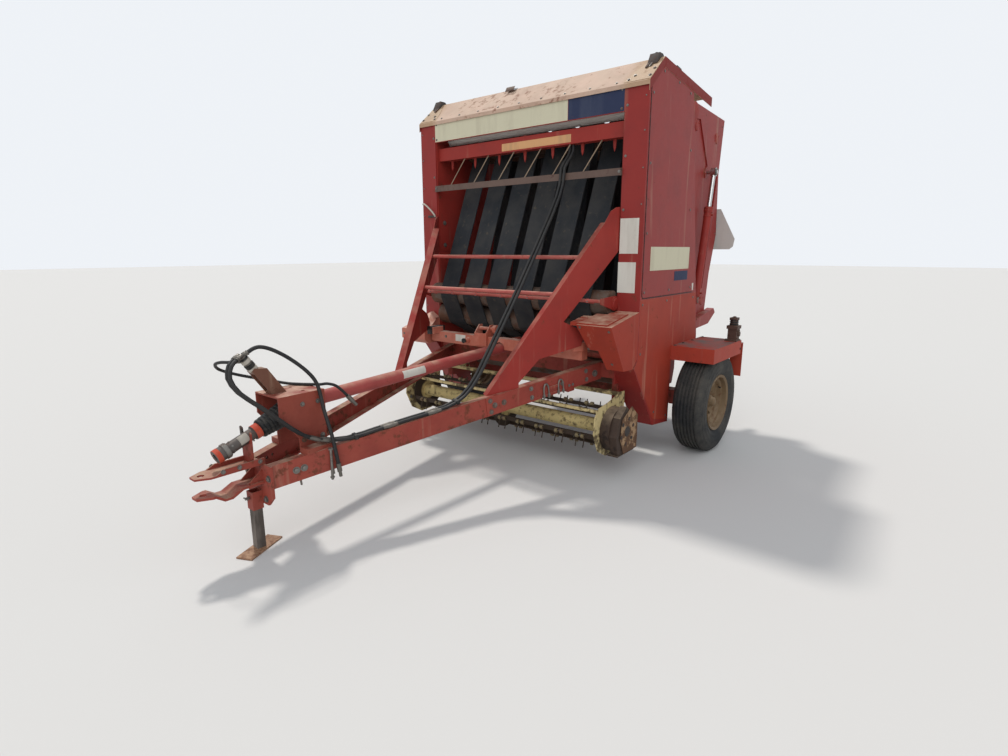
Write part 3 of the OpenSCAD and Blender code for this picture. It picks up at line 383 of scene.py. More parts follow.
def settle(piece, finish, body, slot):
    """Puts an object into the scene as a finished piece of one body."""
    bpy.context.scene.collection.objects.link(piece)
    piece.data.materials.append(MATS[finish])
    slot = slot or FINISH_SLOT[finish]
    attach(piece, body)
    return piece


def new_piece(name, bm, finish, body="frame", slot=None, smooth=30):
    """Makes a piece of a bmesh, sharp where its faces meet at more than smooth degrees."""
    bmesh.ops.recalc_face_normals(bm, faces=bm.faces)
    mesh = bpy.data.meshes.new(name)
    bm.to_mesh(mesh)
    bm.free()
    mesh.shade_smooth()
    mesh.set_sharp_from_angle(angle=math.radians(smooth))
    return settle(bpy.data.objects.new(name, mesh), finish, body, slot)


def single(name, finish, add, *shape, body="frame", slot=None, smooth=30):
    """A piece of one shape, given as its add function and what that takes."""
    bm = bmesh.new()
    add(bm, *shape)
    return new_piece(name, bm, finish, body, slot, smooth)


def sharp(edges, angle=1.0):
    """The edges whose faces meet at more than an angle."""
    return [e for e in edges if e.calc_face_angle(0) > angle]


def soften(bm, edges, offset, segments=2, made=()):
    """Rounds edges, and gives back the vertices of a shape made so far with the new ones."""
    rounded = bmesh.ops.bevel(bm, geom=list(edges), offset=offset, affect="EDGES", segments=segments, profile=0.5,
                              material=-1)
    return list({v for f in rounded["faces"] for v in f.verts} | {v for v in made if v.is_valid})


def move(bm, verts, middle, turn):
    """Turns a shape about the origin and takes it to its place."""
    bmesh.ops.rotate(bm, cent=(0, 0, 0), matrix=turn, verts=verts)
    bmesh.ops.translate(bm, vec=middle, verts=verts)


def aim(direction):
    """The turn that takes +Z to a direction."""
    return Vector(direction).to_track_quat("Z", "Y").to_matrix()


def add_block(bm, middle, size, bevel=0.0, segments=2, turn=Matrix.Identity(3)):
    """A box about its middle, with rounded edges."""
    made = bmesh.ops.create_cube(bm, size=1.0)["verts"]
    bmesh.ops.scale(bm, vec=size, verts=made)
    if bevel:
        made = soften(bm, {e for v in made for e in v.link_edges}, bevel, segments, made)
    move(bm, made, middle, turn)


def add_box(bm, low, high, bevel=0.0, segments=2):
    """A box between two corners, with rounded edges."""
    add_block(bm, (low + high) / 2, high - low, bevel, segments)


def add_rod(bm, start, end, radius, radius2=None, segments=16, bevel=0.0):
    """A round bar or cone between two points."""
    made = bmesh.ops.create_cone(bm, cap_ends=True, segments=segments, radius1=radius,
                                 radius2=radius if radius2 is None else radius2,
                                 depth=(end - start).length)["verts"]
    if bevel:
        made = soften(bm, sharp({e for v in made for e in v.link_edges}), bevel, made=made)
    move(bm, made, (start + end) / 2, aim(end - start))


def add_bolt(bm, point, direction, radius, height, washer=True):
    """A hexagon head on its washer, standing on a face and sunk a little into it."""
    sunk, washer_top, washer_overlap = 0.0006, 0.0022, 0.0002
    direction = Vector(direction).normalized()
    base = point - direction * sunk
    if washer:
        add_rod(bm, base, point + direction * washer_top, radius * 1.45)
        base = point + direction * (washer_top - washer_overlap)
    add_rod(bm, base, point + direction * height, radius, segments=6, bevel=radius * 0.12)


def add_bolts(bm, places, direction, radius, height, sides=(1,), washer=True):
    """Equal bolts at places from the axle, mirrored where sides names -1."""
    for side in sides:
        for x, y, z in places:
            add_bolt(bm, at(x * side, y, z), (direction[0] * side, *direction[1:]), radius, height, washer)


def extrude(bm, points, push):
    """A flat sheet from its outline, as thick as the push is long."""
    face = bm.faces.new([bm.verts.new(point) for point in points])
    made = bmesh.ops.extrude_face_region(bm, geom=[face])["geom"]
    bmesh.ops.translate(bm, vec=push, verts=[g for g in made if isinstance(g, bmesh.types.BMVert)])


def add_ring(bm, centre, axis, profile, steps=48):
    """A turned piece: profile pairs are distance along the axis and radius."""
    turn = aim(axis)
    verts = [bm.verts.new(centre + turn @ Vector((r, 0, h))) for h, r in profile]
    edges = [bm.edges.new(pair) for pair in zip(verts, verts[1:] + verts[:1])]
    bmesh.ops.spin(bm, geom=verts + edges, cent=centre, axis=axis, angle=math.tau, steps=steps, use_merge=True)


def add_band(bm, centre, axis, start, end, inner, outer, soft=0.001, steps=48):
    """A ring round a tube, with its outer edges taken off."""
    add_ring(bm, centre, axis, [(start, inner), (start, outer - soft), (start + soft, outer), (end - soft, outer),
                                (end, outer - soft), (end, inner)], steps)


def add_patch(bm, centre, axis, start, end, radius, middle, half_angle):
    """A foil lying on a round tube; middle is the direction it faces, half_angle in degrees its reach from there."""
    foil, half_angle = 0.0006, math.radians(half_angle)
    middle = Vector(middle)
    first = Matrix.Rotation(-half_angle, 3, axis) @ (middle - axis * middle.dot(axis)).normalized()
    verts = [bm.verts.new(centre + axis * h + first * r)
             for h, r in ((start, radius), (end, radius), (end, radius + foil), (start, radius + foil))]
    bmesh.ops.spin(bm, geom=[bm.faces.new(verts)], cent=centre, axis=axis, angle=2 * half_angle, steps=14,
                   use_merge=False)


def tube(name, points, radius, finish, kind="NURBS", resolution=3):
    """A round wire or hose on the frame: through its points as POLY, led smoothly by them as NURBS."""
    curve = bpy.data.curves.new(name, "CURVE")
    curve.dimensions = "3D"
    curve.bevel_depth = radius
    curve.bevel_resolution = resolution
    curve.use_fill_caps = True
    spline = curve.splines.new(kind)
    spline.points.add(len(points) - 1)
    for target, point in zip(spline.points, points):
        target.co = (*point, 1.0)
    if kind == "NURBS":
        spline.order_u = 4
        spline.use_endpoint_u = True
        spline.resolution_u = 6
    return settle(bpy.data.objects.new(name, curve), finish, "frame", None)


def spline_point(a, b, c, d, t):
    """A point between b and c of four that follow each other."""
    return 0.5 * ((2 * b) + (c - a) * t + (2 * a - 5 * b + 4 * c - d) * t * t + (3 * b - a - 3 * c + d) * t ** 3)


def smooth_route(route, steps=4):
    """The same smooth line through a route chosen in millimetres as the solids follow."""
    points = [at(*(v / 1000 for v in p)) for p in route]
    last = len(points) - 1
    line = [spline_point(points[max(i - 1, 0)], points[i], points[i + 1], points[min(i + 2, last)], k / steps)
            for i in range(last) for k in range(steps)]
    return line + [points[last]]


# ---- places and sizes of the solids

WHEEL_X, WHEEL_Z = 1.193, 0.380
CYLINDER_X, CYLINDER_FOOT, CYLINDER_HEAD = 0.885, (0.478, 1.104), (0.690, 2.146)
BEAM_NOSE = at(0.118, -2.960, 0.405)
BEAM_REAR = at(0.735, -0.780, 0.690)
SIDE_X = 1.015          # outer face of the side housings
PANEL_BACK_X = 1.0148   # back of the outer side panels, let into that face
SEAL_X, SEAL_RADIUS = 1.0160, 0.0028
POST_Y = -0.820         # front face of the posts
BOARD_Y = -0.822        # front face of the header board
REEL = at(0.0, -0.955, 0.335)
TINE_BARS, TINE_COUNT, TINE_PITCH, TINE_RADIUS, TINE_WIRE = 4, 10, 0.170, 0.150, 0.0035
# Drums as back, up and radius; the other ones are the thin front drum and the two of the floor
FRONT_DRUMS = ((-0.400, 2.332, 0.075), (-0.850, 1.167, 0.084), (-0.770, 0.990, 0.084), (-0.480, 0.850, 0.080),
               (-0.200, 2.332, 0.070))
OTHER_DRUMS = ((-0.655, 2.395, 0.038), (-0.350, 0.600, 0.110), (-0.060, 0.610, 0.100))
GATE_DRUMS = ((0.430, 2.480, 0.060), (0.400, 1.000, 0.060), (0.780, 1.080, 0.080), (0.850, 1.600, 0.070),
              (0.880, 2.440, 0.070))
BELT_PITCH, BELT_COUNT = 0.247, 6
PTO_PIVOT = at(0.0, -2.765, 0.700)
PTO_LINE = Vector((0.0, -0.9363, -0.3511)).normalized()
SHIELD_RADIUS = 0.0378  # of the driveline tube
SHIELD_FRONT = at(0.0, -2.660, 0.724)
SHIELD_RUN = (at(0.0, -0.830, 0.806) - SHIELD_FRONT).normalized()
HOSE_GAP = 0.014        # half the distance between the two hoses of the pair
HOSE_PAIR = [(10, -3036, 1002), (32, -3072, 982), (62, -3098, 930), (90, -3070, 860), (120, -2990, 780),
             (142, -2900, 690), (148, -2800, 600), (158, -2690, 546), (205, -2560, 531), (250, -2400, 552),
             (306, -2200, 578), (366, -1980, 608), (388, -1850, 655), (390, -1740, 740), (388, -1640, 852),
             (385, -1307, 1262), (400, -960, 1760), (408, -862, 1950), (412, -850, 2060), (415, -790, 2130),
             (415, -752, 2180), (415, -750, 2223.5)]
HOSE_ARCH = [(-8, -2960, 1030), (-2, -2930, 1046), (8, -2900, 1050), (22, -2855, 1034), (44, -2800, 998),
             (74, -2750, 952), (100, -2708, 903), (118, -2680, 855), (126, -2665, 800), (148, -2660, 700),
             (204, -2660, 570), (226, -2657, 480), (230, -2650, 420)]
HOSE_LOOP = [(-45, -3005, 985), (-78, -3022, 980), (-120, -3046, 978), (-172, -3050, 962), (-215, -3015, 926),
             (-215, -2940, 890), (-190, -2850, 858), (-145, -2760, 829), (-100, -2705, 814), (-50, -2665, 810.5),
             (0, -2632, 810.5), (40, -2602, 810.5), (64, -2575, 813), (86, -2540, 800), (100, -2512, 772),
             (111, -2484, 736)]
# Outlines of the outer side panels and of the seal round the upper one, as back and up
PANEL_UPPER = ((-0.794, 1.207), (-0.794, 2.512), (-0.632, 2.650), (-0.180, 2.601), (-0.165, 2.560), (0.050, 1.207))
PANEL_LOWER = ((-0.812, 1.193), (-0.812, 0.792), (-0.852, 0.740), (-0.528, 0.318), (-0.278, 0.262), (-0.272, 0.712),
               (0.190, 0.730), (0.190, 0.868), (0.132, 1.193))
PANEL_SEAL = ((0.046, 1.2015), (-0.20, 1.2015), (-0.50, 1.2015), (-0.7985, 1.2015), (-0.7985, 1.2025),
              (-0.7985, 1.60), (-0.7985, 2.10), (-0.7985, 2.513), (-0.798, 2.5145), (-0.72, 2.581), (-0.635, 2.6545),
              (-0.632, 2.6555), (-0.50, 2.6415), (-0.35, 2.6245), (-0.178, 2.6055))


def beam_matrix(side=1):
    """Frame of a drawbar channel: Y along it, X outwards, Z up across its web."""
    run = BEAM_REAR - BEAM_NOSE
    yaw = math.atan2(run.x, run.y)
    pitch = math.atan2(run.z, math.hypot(run.x, run.y))
    left = Matrix.Translation(BEAM_NOSE) @ Matrix.Rotation(-yaw, 4, "Z") @ Matrix.Rotation(pitch, 4, "X")
    return Matrix.Scale(side, 4, X) @ left


# ---- sizes and colours a user may change

class BalerSizes(bpy.types.PropertyGroup):
    big_bolt_radius: FloatProperty(name="Frame bolt radius", description="Radius of the bolt heads on the drawbar",
                                   default=0.013, unit="LENGTH")
    hose_radius: FloatProperty(name="Hose radius", description="Radius of the thick hydraulic hoses",
                               default=0.010, unit="LENGTH")
    loop_radius: FloatProperty(name="Thin hose radius", description="Radius of the thin hose", default=0.008,
                               unit="LENGTH")
    panel_sheet: FloatProperty(name="Panel sheet", description="Thickness of the outer side panels", default=0.002,
                               unit="LENGTH")
    board_sheet: FloatProperty(name="Board sheet", description="Thickness of the blank boards and labels",
                               default=0.0012, unit="LENGTH")
    coil_radius: FloatProperty(name="Tine coil radius", description="Outer radius of the coils of the tines",
                               default=0.016, unit="LENGTH")


class BalerStage(bpy.types.PropertyGroup):
    floor_colour: FloatVectorProperty(name="Floor colour", description="Colour of the floor", subtype="COLOR",
                                      default=(0.62, 0.61, 0.59))
    lens: FloatProperty(name="Lens", description="Focal length in millimetres", default=20.64)


# ---- pieces

class BALER_OT_finish(bpy.types.Operator):
    """Gives every CAD node its finish"""
    bl_idname = "baler.finish_nodes"
    bl_label = "Finish the frame"

    def execute(self, context):
        MATS.update(make_materials())
        for finish, names in NODE_FINISH.items():
            for name in names.split():
                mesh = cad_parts[name].data
                mesh.materials.clear()
                mesh.materials.append(MATS[finish])
        return {"FINISHED"}


class BALER_OT_hoses(bpy.types.Operator):
    """Free hydraulic hoses that end in their plugs"""
    bl_idname = "baler.hoses"
    bl_label = "Hoses"

    def execute(self, context):
        sizes = context.scene.baler_sizes
        for name, route, radius, node, plug in (
                ("arch_hose", HOSE_ARCH, sizes.hose_radius, "hose_arch", "arch_plug"),
                ("loop_hose", HOSE_LOOP, sizes.loop_radius, "hose_loop", "loop_plug")):
            line = smooth_route(route)
            length = sum((b - a).length for a, b in zip(line, line[1:]))
            piece = tube(name, line, radius, "hose", "POLY", 5)
            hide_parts(node)
        return {"FINISHED"}


class BALER_OT_boards(bpy.types.Operator):
    """Blank boards and labels on the sheet steel"""
    bl_idname = "baler.boards"
    bl_label = "Blank boards"

    def execute(self, context):
        sunk, sheet = 0.0005, context.scene.baler_sizes.board_sheet
        panel = SIDE_X + context.scene.baler_sizes.panel_sheet
        # The axis that a board faces along and its face there, then its start and end across and its bottom and top
        for name, finish, axis, face, start, end, bottom, top in (
                ("header_panel_cream", "cream", "Y", BOARD_Y, -0.846, 0.424, 2.369, 2.514),
                ("header_panel_navy", "navy", "Y", BOARD_Y, 0.4275, 0.846, 2.369, 2.514),
                ("post_label_upper", "label", "Y", POST_Y, 0.851, 0.984, 1.492, 1.716),
                ("post_label_lower", "label", "Y", POST_Y, 0.846, 0.974, 1.238, 1.437),
                ("header_tube_label", "amber_label", "Y", -0.785, -0.180, 0.430, 2.236, 2.288),
                ("side_board", "cream", "X", panel, -0.700, -0.050, 1.380, 1.536),
                ("side_board_small", "navy", "X", panel, -0.300, -0.062, 1.300, 1.366),
                ("side_label", "label", "X", SIDE_X, 0.026, 0.072, 1.214, 1.268),
                ("channel_label", "label", "Y", -1.040, -0.452, -0.345, 0.812, 0.866)):
            low, high = (start, face - sheet, bottom), (end, face + sunk, top)
            if axis == "X":
                low, high = (face - sunk, start, bottom), (face + sheet, end, top)
            single(name, finish, add_box, at(*low), at(*high), sheet * 0.3, 1)
        single("shield_label", "label", add_patch, SHIELD_FRONT, SHIELD_RUN, 0.650, 0.835, SHIELD_RADIUS + 0.0003,
               (1.0, -0.1, 0.25), 38)
        return {"FINISHED"}


class BALER_OT_panels(bpy.types.Operator):
    """Outer side panels, roof end plates and lifting brackets"""
    bl_idname = "baler.panels"
    bl_label = "Sheet panels"

    def execute(self, context):
        sheet = context.scene.baler_sizes.panel_sheet
        for side, label in SIDES:
            # Side panels and the seal round the upper one
            for part, finish, points, thick in (("upper", "red_clean", PANEL_UPPER, sheet),
                                                ("lower", "red_low", PANEL_LOWER, sheet * 0.5)):
                bm = bmesh.new()
                extrude(bm, [at(PANEL_BACK_X * side, y, z) for y, z in points], X * thick * side)
                soften(bm, sharp(bm.edges), sheet * 0.25, 1)
                new_piece("side_panel_%s_%s" % (part, label), bm, finish)
            tube("panel_seal_" + label, [at(SEAL_X * side, y, z) for y, z in PANEL_SEAL], SEAL_RADIUS, "guard")

        slope = math.atan(0.160 / 0.185)
        up, along = Vector((0, -math.sin(slope), math.cos(slope))), Vector((0, math.cos(slope), math.sin(slope)))
        eave = at(0, POST_Y, 2.5342) + up * 0.0002

        def on_slope(x, d, height=0.0):
            """A point on the roof's front slope: across, along it from the eave, and above it."""
            return eave + X * x + along * d + up * height

        bm = bmesh.new()
        corners = ((0.838, -0.006), (1.0175, -0.006), (1.0175, 0.236), (0.925, 0.236), (0.868, 0.120))
        for side in BOTH:
            extrude(bm, [on_slope(x * side, d) for x, d in corners], up * sheet)
        new_piece("roof_end_plates", bm, "roof_plate")
        bm = bmesh.new()
        for side in BOTH:
            for x, d in ((0.862, 0.018), (1.000, 0.030), (1.000, 0.110), (0.955, 0.150), (0.945, 0.215),
                         (0.890, 0.060)):
                add_bolt(bm, on_slope(x * side, d, sheet), up, 0.008, 0.007)
        for i in range(9):
            add_bolt(bm, on_slope(-0.780 + 0.195 * i, 0.012), up, 0.006, 0.005)
        new_piece("roof_bolts", bm, "steel")
        bm = bmesh.new()
        for side in BOTH:
            for x0, x1, points in (
                    (0.926, 0.994, ((-0.700, 2.648), (-0.662, 2.7165), (-0.618, 2.7165), (-0.578, 2.688))),
                    (0.947, 0.993, ((-0.416, 2.672), (-0.393, 2.7005), (-0.327, 2.6925), (-0.294, 2.662)))):
                extrude(bm, [at(x0 * side, y, z) for y, z in points], X * (x1 - x0) * side)
        add_bolts(bm, [(0.960, -0.640, 2.7165)], UP, 0.010, 0.008, BOTH)
        soften(bm, sharp(bm.edges, 1.2), 0.002)
        new_piece("lifting_brackets", bm, "dark_steel")
        # Latches below the lifting brackets, on the front slope, and the bent tab at the ridge
        bm = bmesh.new()
        for side in BOTH:
            for x, start, end in ((0.936, 0.128, 0.205), (0.958, 0.150, 0.222)):
                add_block(bm, on_slope(x * side, (start + end) / 2, sheet + 0.004), (0.016, end - start, 0.010), 0.002,
                          turn=Matrix.Rotation(slope, 3, "X"))
        new_piece("roof_latches", bm, "dark_steel")
        bm = bmesh.new()
        for lean, y, z in ((0.30, -0.672, 2.692), (-0.45, -0.642, 2.696)):
            add_block(bm, at(-0.193, y, z), (0.080, 0.040, 0.0024), 0.0006, turn=Matrix.Rotation(slope + lean, 3, "X"))
        new_piece("ridge_tab", bm, "dark_brown")
        return {"FINISHED"}


class BALER_OT_fasteners(bpy.types.Operator):
    """Bolts, screws and pins of the body and drawbar"""
    bl_idname = "baler.fasteners"
    bl_label = "Fasteners"

    def execute(self, context):
        big, sheet = context.scene.baler_sizes.big_bolt_radius, context.scene.baler_sizes.panel_sheet
        # Screws of the upper and lower side panels, of the posts, and bolts inside the posts and on the header board
        bm = bmesh.new()
        add_bolts(bm, [(SIDE_X + sheet, y, z) for y, z in (
            (-0.770, 1.24), (-0.770, 1.62), (-0.770, 2.05), (-0.770, 2.46), (-0.630, 2.61), (-0.400, 2.59),
            (-0.205, 2.56), (-0.145, 2.20), (-0.085, 1.80), (0.005, 1.24), (-0.380, 1.24))], X, 0.006, 0.004, BOTH)
        add_bolts(bm, [(SIDE_X + sheet * 0.5, y, z) for y, z in (
            (-0.780, 1.160), (-0.780, 0.830), (-0.400, 1.165), (0.080, 1.160), (-0.310, 0.300), (-0.520, 0.370),
            (0.160, 0.760))], X, 0.006, 0.004, BOTH)
        add_bolts(bm, [(0.994, POST_Y, z) for z in (0.86, 1.05, 1.80, 2.02, 2.24, 2.44)], FRONT, 0.005, 0.004, BOTH,
                  washer=False)
        add_bolts(bm, [(0.868, POST_Y, z) for z in (0.95, 1.77, 2.10, 2.40)], FRONT, 0.006, 0.005, BOTH)
        add_bolts(bm, [(0.8345, -0.750, z) for z in (1.560, 1.740)], -X, big, 0.012, BOTH)
        add_bolts(bm, [(0.830, -0.8232, z) for z in (2.385, 2.498)], FRONT, 0.006, 0.005, BOTH)
        new_piece("body_screws", bm, "steel")

        bm = bmesh.new()
        for side in BOTH:
            place = beam_matrix(side)
            out, above = place.to_3x3() @ X, place.to_3x3() @ UP
            for x, d in ((0.0, 0.120), (0.0, 0.160), (0.006, 1.350), (0.006, 1.420)):
                add_bolt(bm, place @ Vector((x, d, 0)), out, big, 0.011)
            for d, z in ((1.320, 0.036), (1.320, -0.036), (1.640, 0.030), (1.640, -0.030), (2.120, 0.030),
                         (2.120, -0.030), (1.900, 0.0)):
                add_bolt(bm, place @ Vector((0.006, d, z)), out, big * 0.85, 0.009)
            # Through bolts with their long ends below the channel
            for d in (0.135, 0.310):
                top = place @ Vector((-0.026, d, -0.061))
                add_rod(bm, top + above * 0.004, top - above * 0.036, 0.0055)
                add_bolt(bm, top, -above, 0.010, 0.009)
        add_bolts(bm, [(0.062, -2.972, 0.280), (0.104, -2.972, 0.400)], FRONT, big, 0.011, BOTH)
        add_bolts(bm, [(0.060, y, 0.487) for y in (-2.985, -3.090, -3.170)], X, 0.008, 0.008, BOTH)
        add_bolts(bm, [(0.112, y, 0.555) for y in (-2.765, -2.655)], X, 0.010, 0.009, BOTH)
        add_bolts(bm, [(0.112, y, 0.745) for y in (-2.760, -2.670)], X, 0.009, 0.008, BOTH)
        new_piece("drawbar_bolts", bm, "steel")

        # Clamp with two U-bolts, a hanging plate and one bright bolt near the left channel's rear end
        place = beam_matrix()
        lift = place.to_3x3()
        for start, label in ((1.735, "front"), (1.860, "rear")):
            loop = ((0.0135, 0, -0.066), (0.0135, 0, -0.030), (0.0150, 0, 0.010), (0.0150, 0.012, 0.034),
                    (0.0150, 0.030, 0.034), (0.0150, 0.042, 0.010), (0.0135, 0.042, -0.030), (0.0135, 0.042, -0.066))
            tube("u_bolt_" + label, [place @ Vector((x, start + d, z)) for x, d, z in loop], 0.0055, "steel")
        bm = bmesh.new()
        for low, high in (((0.0055, 1.770, -0.016), (0.0150, 1.868, 0.004)),
                          ((0.0055, 1.725, -0.058), (0.0100, 1.915, -0.040)),
                          ((-0.0300, 1.945, -0.078), (0.0060, 2.000, -0.0605)),
                          ((0.0055, 1.945, -0.076), (0.0105, 2.000, -0.010))):
            low, high = Vector(low), Vector(high)
            add_block(bm, place @ ((low + high) / 2), high - low, 0.002, turn=lift)
        new_piece("channel_clamp", bm, "red_worn")
        bm = bmesh.new()
        for x, z, radius, height, places in ((0.0062, -0.006, 0.017, 0.014, (2.200,)),
                                             (0.0100, -0.049, 0.009, 0.010, (1.735, 1.777, 1.860, 1.902)),
                                             (0.0105, -0.030, 0.007, 0.007, (1.957, 1.988))):
            for d in places:
                add_bolt(bm, place @ Vector((x, d, z)), lift @ X, radius, height)
        new_piece("clamp_bolts", bm, "steel")

        # Pin across the hitch's gusset, the long pin hanging beside the left channel, and the jack's pin
        bm = bmesh.new()
        point = place @ Vector((0.012, 0.300, 0.0))
        add_rod(bm, point + UP * 0.055, point - UP * 0.110, 0.0075, bevel=0.001)
        add_rod(bm, point + UP * 0.055, point + UP * 0.064, 0.014, segments=6)
        add_rod(bm, point - UP * 0.094, point - UP * 0.100, 0.012, segments=12)
        add_rod(bm, at(0, -3.052, 0.290), at(0, -3.0285, 0.290), 0.0075, bevel=0.001)
        add_rod(bm, at(-0.020, -3.048, 0.290), at(0.020, -3.048, 0.290), 0.004)
        new_piece("drawbar_pins", bm, "steel")
        return {"FINISHED"}


class BALER_OT_driveline(bpy.types.Operator):
    """Ribbed cone, collars and rings of the front driveline"""
    bl_idname = "baler.driveline"
    bl_label = "Driveline"

    def execute(self, context):
        first, length, ribs = 0.030, 0.160, 8

        def cone(h):
            """The cone's radius, which falls along it."""
            return 0.0655 - (h - first) * 0.112

        profile = [(first, 0.0640)]
        for i in range(ribs):
            a, b = (first + length * (i + part) / ribs for part in (0.25, 0.75))
            profile += [(a - 0.004, cone(a) - 0.0035), (a, cone(a) + 0.001), (b, cone(b) + 0.001),
                        (b + 0.004, cone(b) - 0.0035)]
        profile += [(0.190, 0.046), (0.190, 0.0304), (0.183, 0.0304), (0.180, 0.0410), (0.034, 0.0590), (first, 0.0590)]
        piece = single("ribbed_cone", "guard", add_ring, PTO_PIVOT, PTO_LINE, profile, body="pto",
                       slot="guard_plastic", smooth=40)
        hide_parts("pto_guard")
        for name, finish, start, end, inner, outer in (("collar_ring", "orange", 0.1925, 0.2245, 0.0378, 0.0392),
                                                       ("yoke_tip_ring", "orange", 0.412, 0.4365, 0.0358, 0.0374),
                                                       ("yoke_lock_ring", "steel", 0.370, 0.392, 0.0358, 0.0405)):
            single(name, finish, add_band, PTO_PIVOT, PTO_LINE, start, end, inner, outer, (outer - inner) * 0.35,
                   body="pto")
        single("shaft_label", "dirty_label", add_patch, PTO_PIVOT, PTO_LINE, 0.262, 0.312, 0.0301, (1.0, -0.2, 0.6), 48,
               body="pto")
        bm = bmesh.new()
        above = X.cross(PTO_LINE).normalized()
        balls, nipple = PTO_PIVOT + PTO_LINE * 0.350, PTO_PIVOT + PTO_LINE * 0.239
        for angle in around(6):
            d = Matrix.Rotation(angle, 3, PTO_LINE) @ above
            add_rod(bm, balls + d * 0.0295, balls + d * 0.034, 0.005, segments=8)
        add_rod(bm, nipple + above * 0.029, nipple + above * 0.040, 0.004, segments=10, bevel=0.0008)
        new_piece("shaft_balls_and_nipple", bm, "steel", "pto")
        bm = bmesh.new()
        for d, width, outer in ((0.006, 0.020, 0.0425), (0.905, 0.012, 0.0400), (1.780, 0.026, 0.0440)):
            add_band(bm, SHIELD_FRONT, SHIELD_RUN, d, d + width, SHIELD_RADIUS, outer)
        new_piece("shield_bands", bm, "red_shield")
        # Cups of the joint, and the bearing flange under the bridge with its bolts
        bm = bmesh.new()
        add_bolts(bm, [(0.05002, -2.765, 0.700)], X, 0.0105, 0.004, BOTH, washer=False)
        for side in BOTH:
            add_block(bm, at(0.0405 * side, -2.7035, 0.729), (0.015, 0.008, 0.114), 0.002)
        add_bolts(bm, [(0.0405, -2.7075, z) for z in (0.684, 0.774)], FRONT, 0.007, 0.006, BOTH)
        new_piece("joint_cups_and_bearing", bm, "steel")
        # Cover plate, filler plug and bolts of the gearbox
        bm = bmesh.new()
        add_box(bm, at(-0.062, -0.8085, 0.7555), at(-0.054, -0.8005, 0.842), 0.002)
        add_rod(bm, at(0.030, -0.752, 0.842), at(0.030, -0.752, 0.858), 0.013, segments=6, bevel=0.001)
        add_bolts(bm, [(0.070, -0.8045, z) for z in (0.760, 0.822)], FRONT, 0.009, 0.007, BOTH)
        new_piece("gearbox_bolts", bm, "steel")
        return {"FINISHED"}


class BALER_OT_hydraulics(bpy.types.Operator):
    """Fittings, clamps and cylinder ends"""
    bl_idname = "baler.hydraulics"
    bl_label = "Hydraulic fittings"

    def execute(self, context):
        line = smooth_route(HOSE_PAIR)
        joints, clamps = (26, 28, 37, 42), (33, 46)      # counted along that line
        bm = bmesh.new()
        for side in BOTH:
            for k in joints:
                point, d = line[k] + X * HOSE_GAP * side, (line[k + 1] - line[k]).normalized()
                add_rod(bm, point, point + d * 0.042, 0.0128, segments=6, bevel=0.0012)
                add_rod(bm, point - d * 0.022, point + d * 0.064, 0.0112)
        new_piece("hose_joints", bm, "coupler")
        bm = bmesh.new()
        for k in clamps:
            add_block(bm, line[k], (0.056, 0.027, 0.022), 0.004, turn=aim(line[k + 1] - line[k]))
        new_piece("hose_clamps", bm, "guard")

        # Coupler heads with their sleeves, one pale and one dark, and the nuts at the hoses' ends
        foot, head = at(-0.015, -2.930, 0.932), at(-0.015, -2.992, 1.013)
        for name, finish, bands in (("coupler_sleeves", "pale_grip", ((0.010, 0.026, 0.0245), (0.060, 0.080, 0.0245))),
                                    ("coupler_rings", "guard", ((0.030, 0.050, 0.0255), (0.084, 0.094, 0.0240)))):
            bm = bmesh.new()
            for start, end, radius in bands:
                add_band(bm, foot, (head - foot).normalized(), start, end, 0.0215, radius, steps=32)
            new_piece(name, bm, finish, slot="coupler_steel")
        bm = bmesh.new()
        for route, shift, radius in ((line, HOSE_GAP, 0.0145), (line, -HOSE_GAP, 0.0145),
                                     (smooth_route(HOSE_ARCH), 0.0, 0.0145), (smooth_route(HOSE_LOOP), 0.0, 0.0120)):
            start, d = route[0] + X * shift, (route[1] - route[0]).normalized()
            add_rod(bm, start - d * 0.030, start - d * 0.010, radius, segments=6, bevel=0.0015)
            add_ring(bm, start, d, [(-0.006, 0.0085), (-0.006, radius - 0.002), (-0.002, radius - 0.001),
                                    (0.000, radius - 0.002), (0.000, 0.0085)], 20)
        new_piece("coupler_nuts", bm, "coupler")

        # Bands of the barrels, and washers with cross pins at both ends of the cylinders
        run = (at(0, *CYLINDER_HEAD) - at(0, *CYLINDER_FOOT)).normalized()
        for side, label in SIDES:
            bm = bmesh.new()
            for d, radius, width in ((0.040, 0.0335, 0.010), (0.690, 0.0335, 0.012), (0.742, 0.0372, 0.006),
                                     (0.757, 0.0372, 0.006)):
                add_band(bm, at(CYLINDER_X * side, *CYLINDER_FOOT), run, d, d + width, 0.0302, radius, steps=32)
            new_piece("barrel_bands_" + label, bm, "red", "barrel_" + label)
            for end, body, (y, z), near, cross, far, radius in (
                    ("foot", "frame", CYLINDER_FOOT, 0.903, 0.9055, 0.908, 0.024),
                    ("head", "rod_" + label, CYLINDER_HEAD, 0.906, 0.9095, 0.912, 0.026)):
                bm = bmesh.new()
                reach = radius + 0.002
                add_rod(bm, at(near * side, y, z), at(far * side, y, z), radius, segments=20, bevel=0.0008)
                add_rod(bm, at(cross * side, y, z - reach), at(cross * side, y, z + reach), 0.0025, segments=8)
                new_piece("%s_pin_washer_%s" % (end, label), bm, "steel", body)
        return {"FINISHED"}


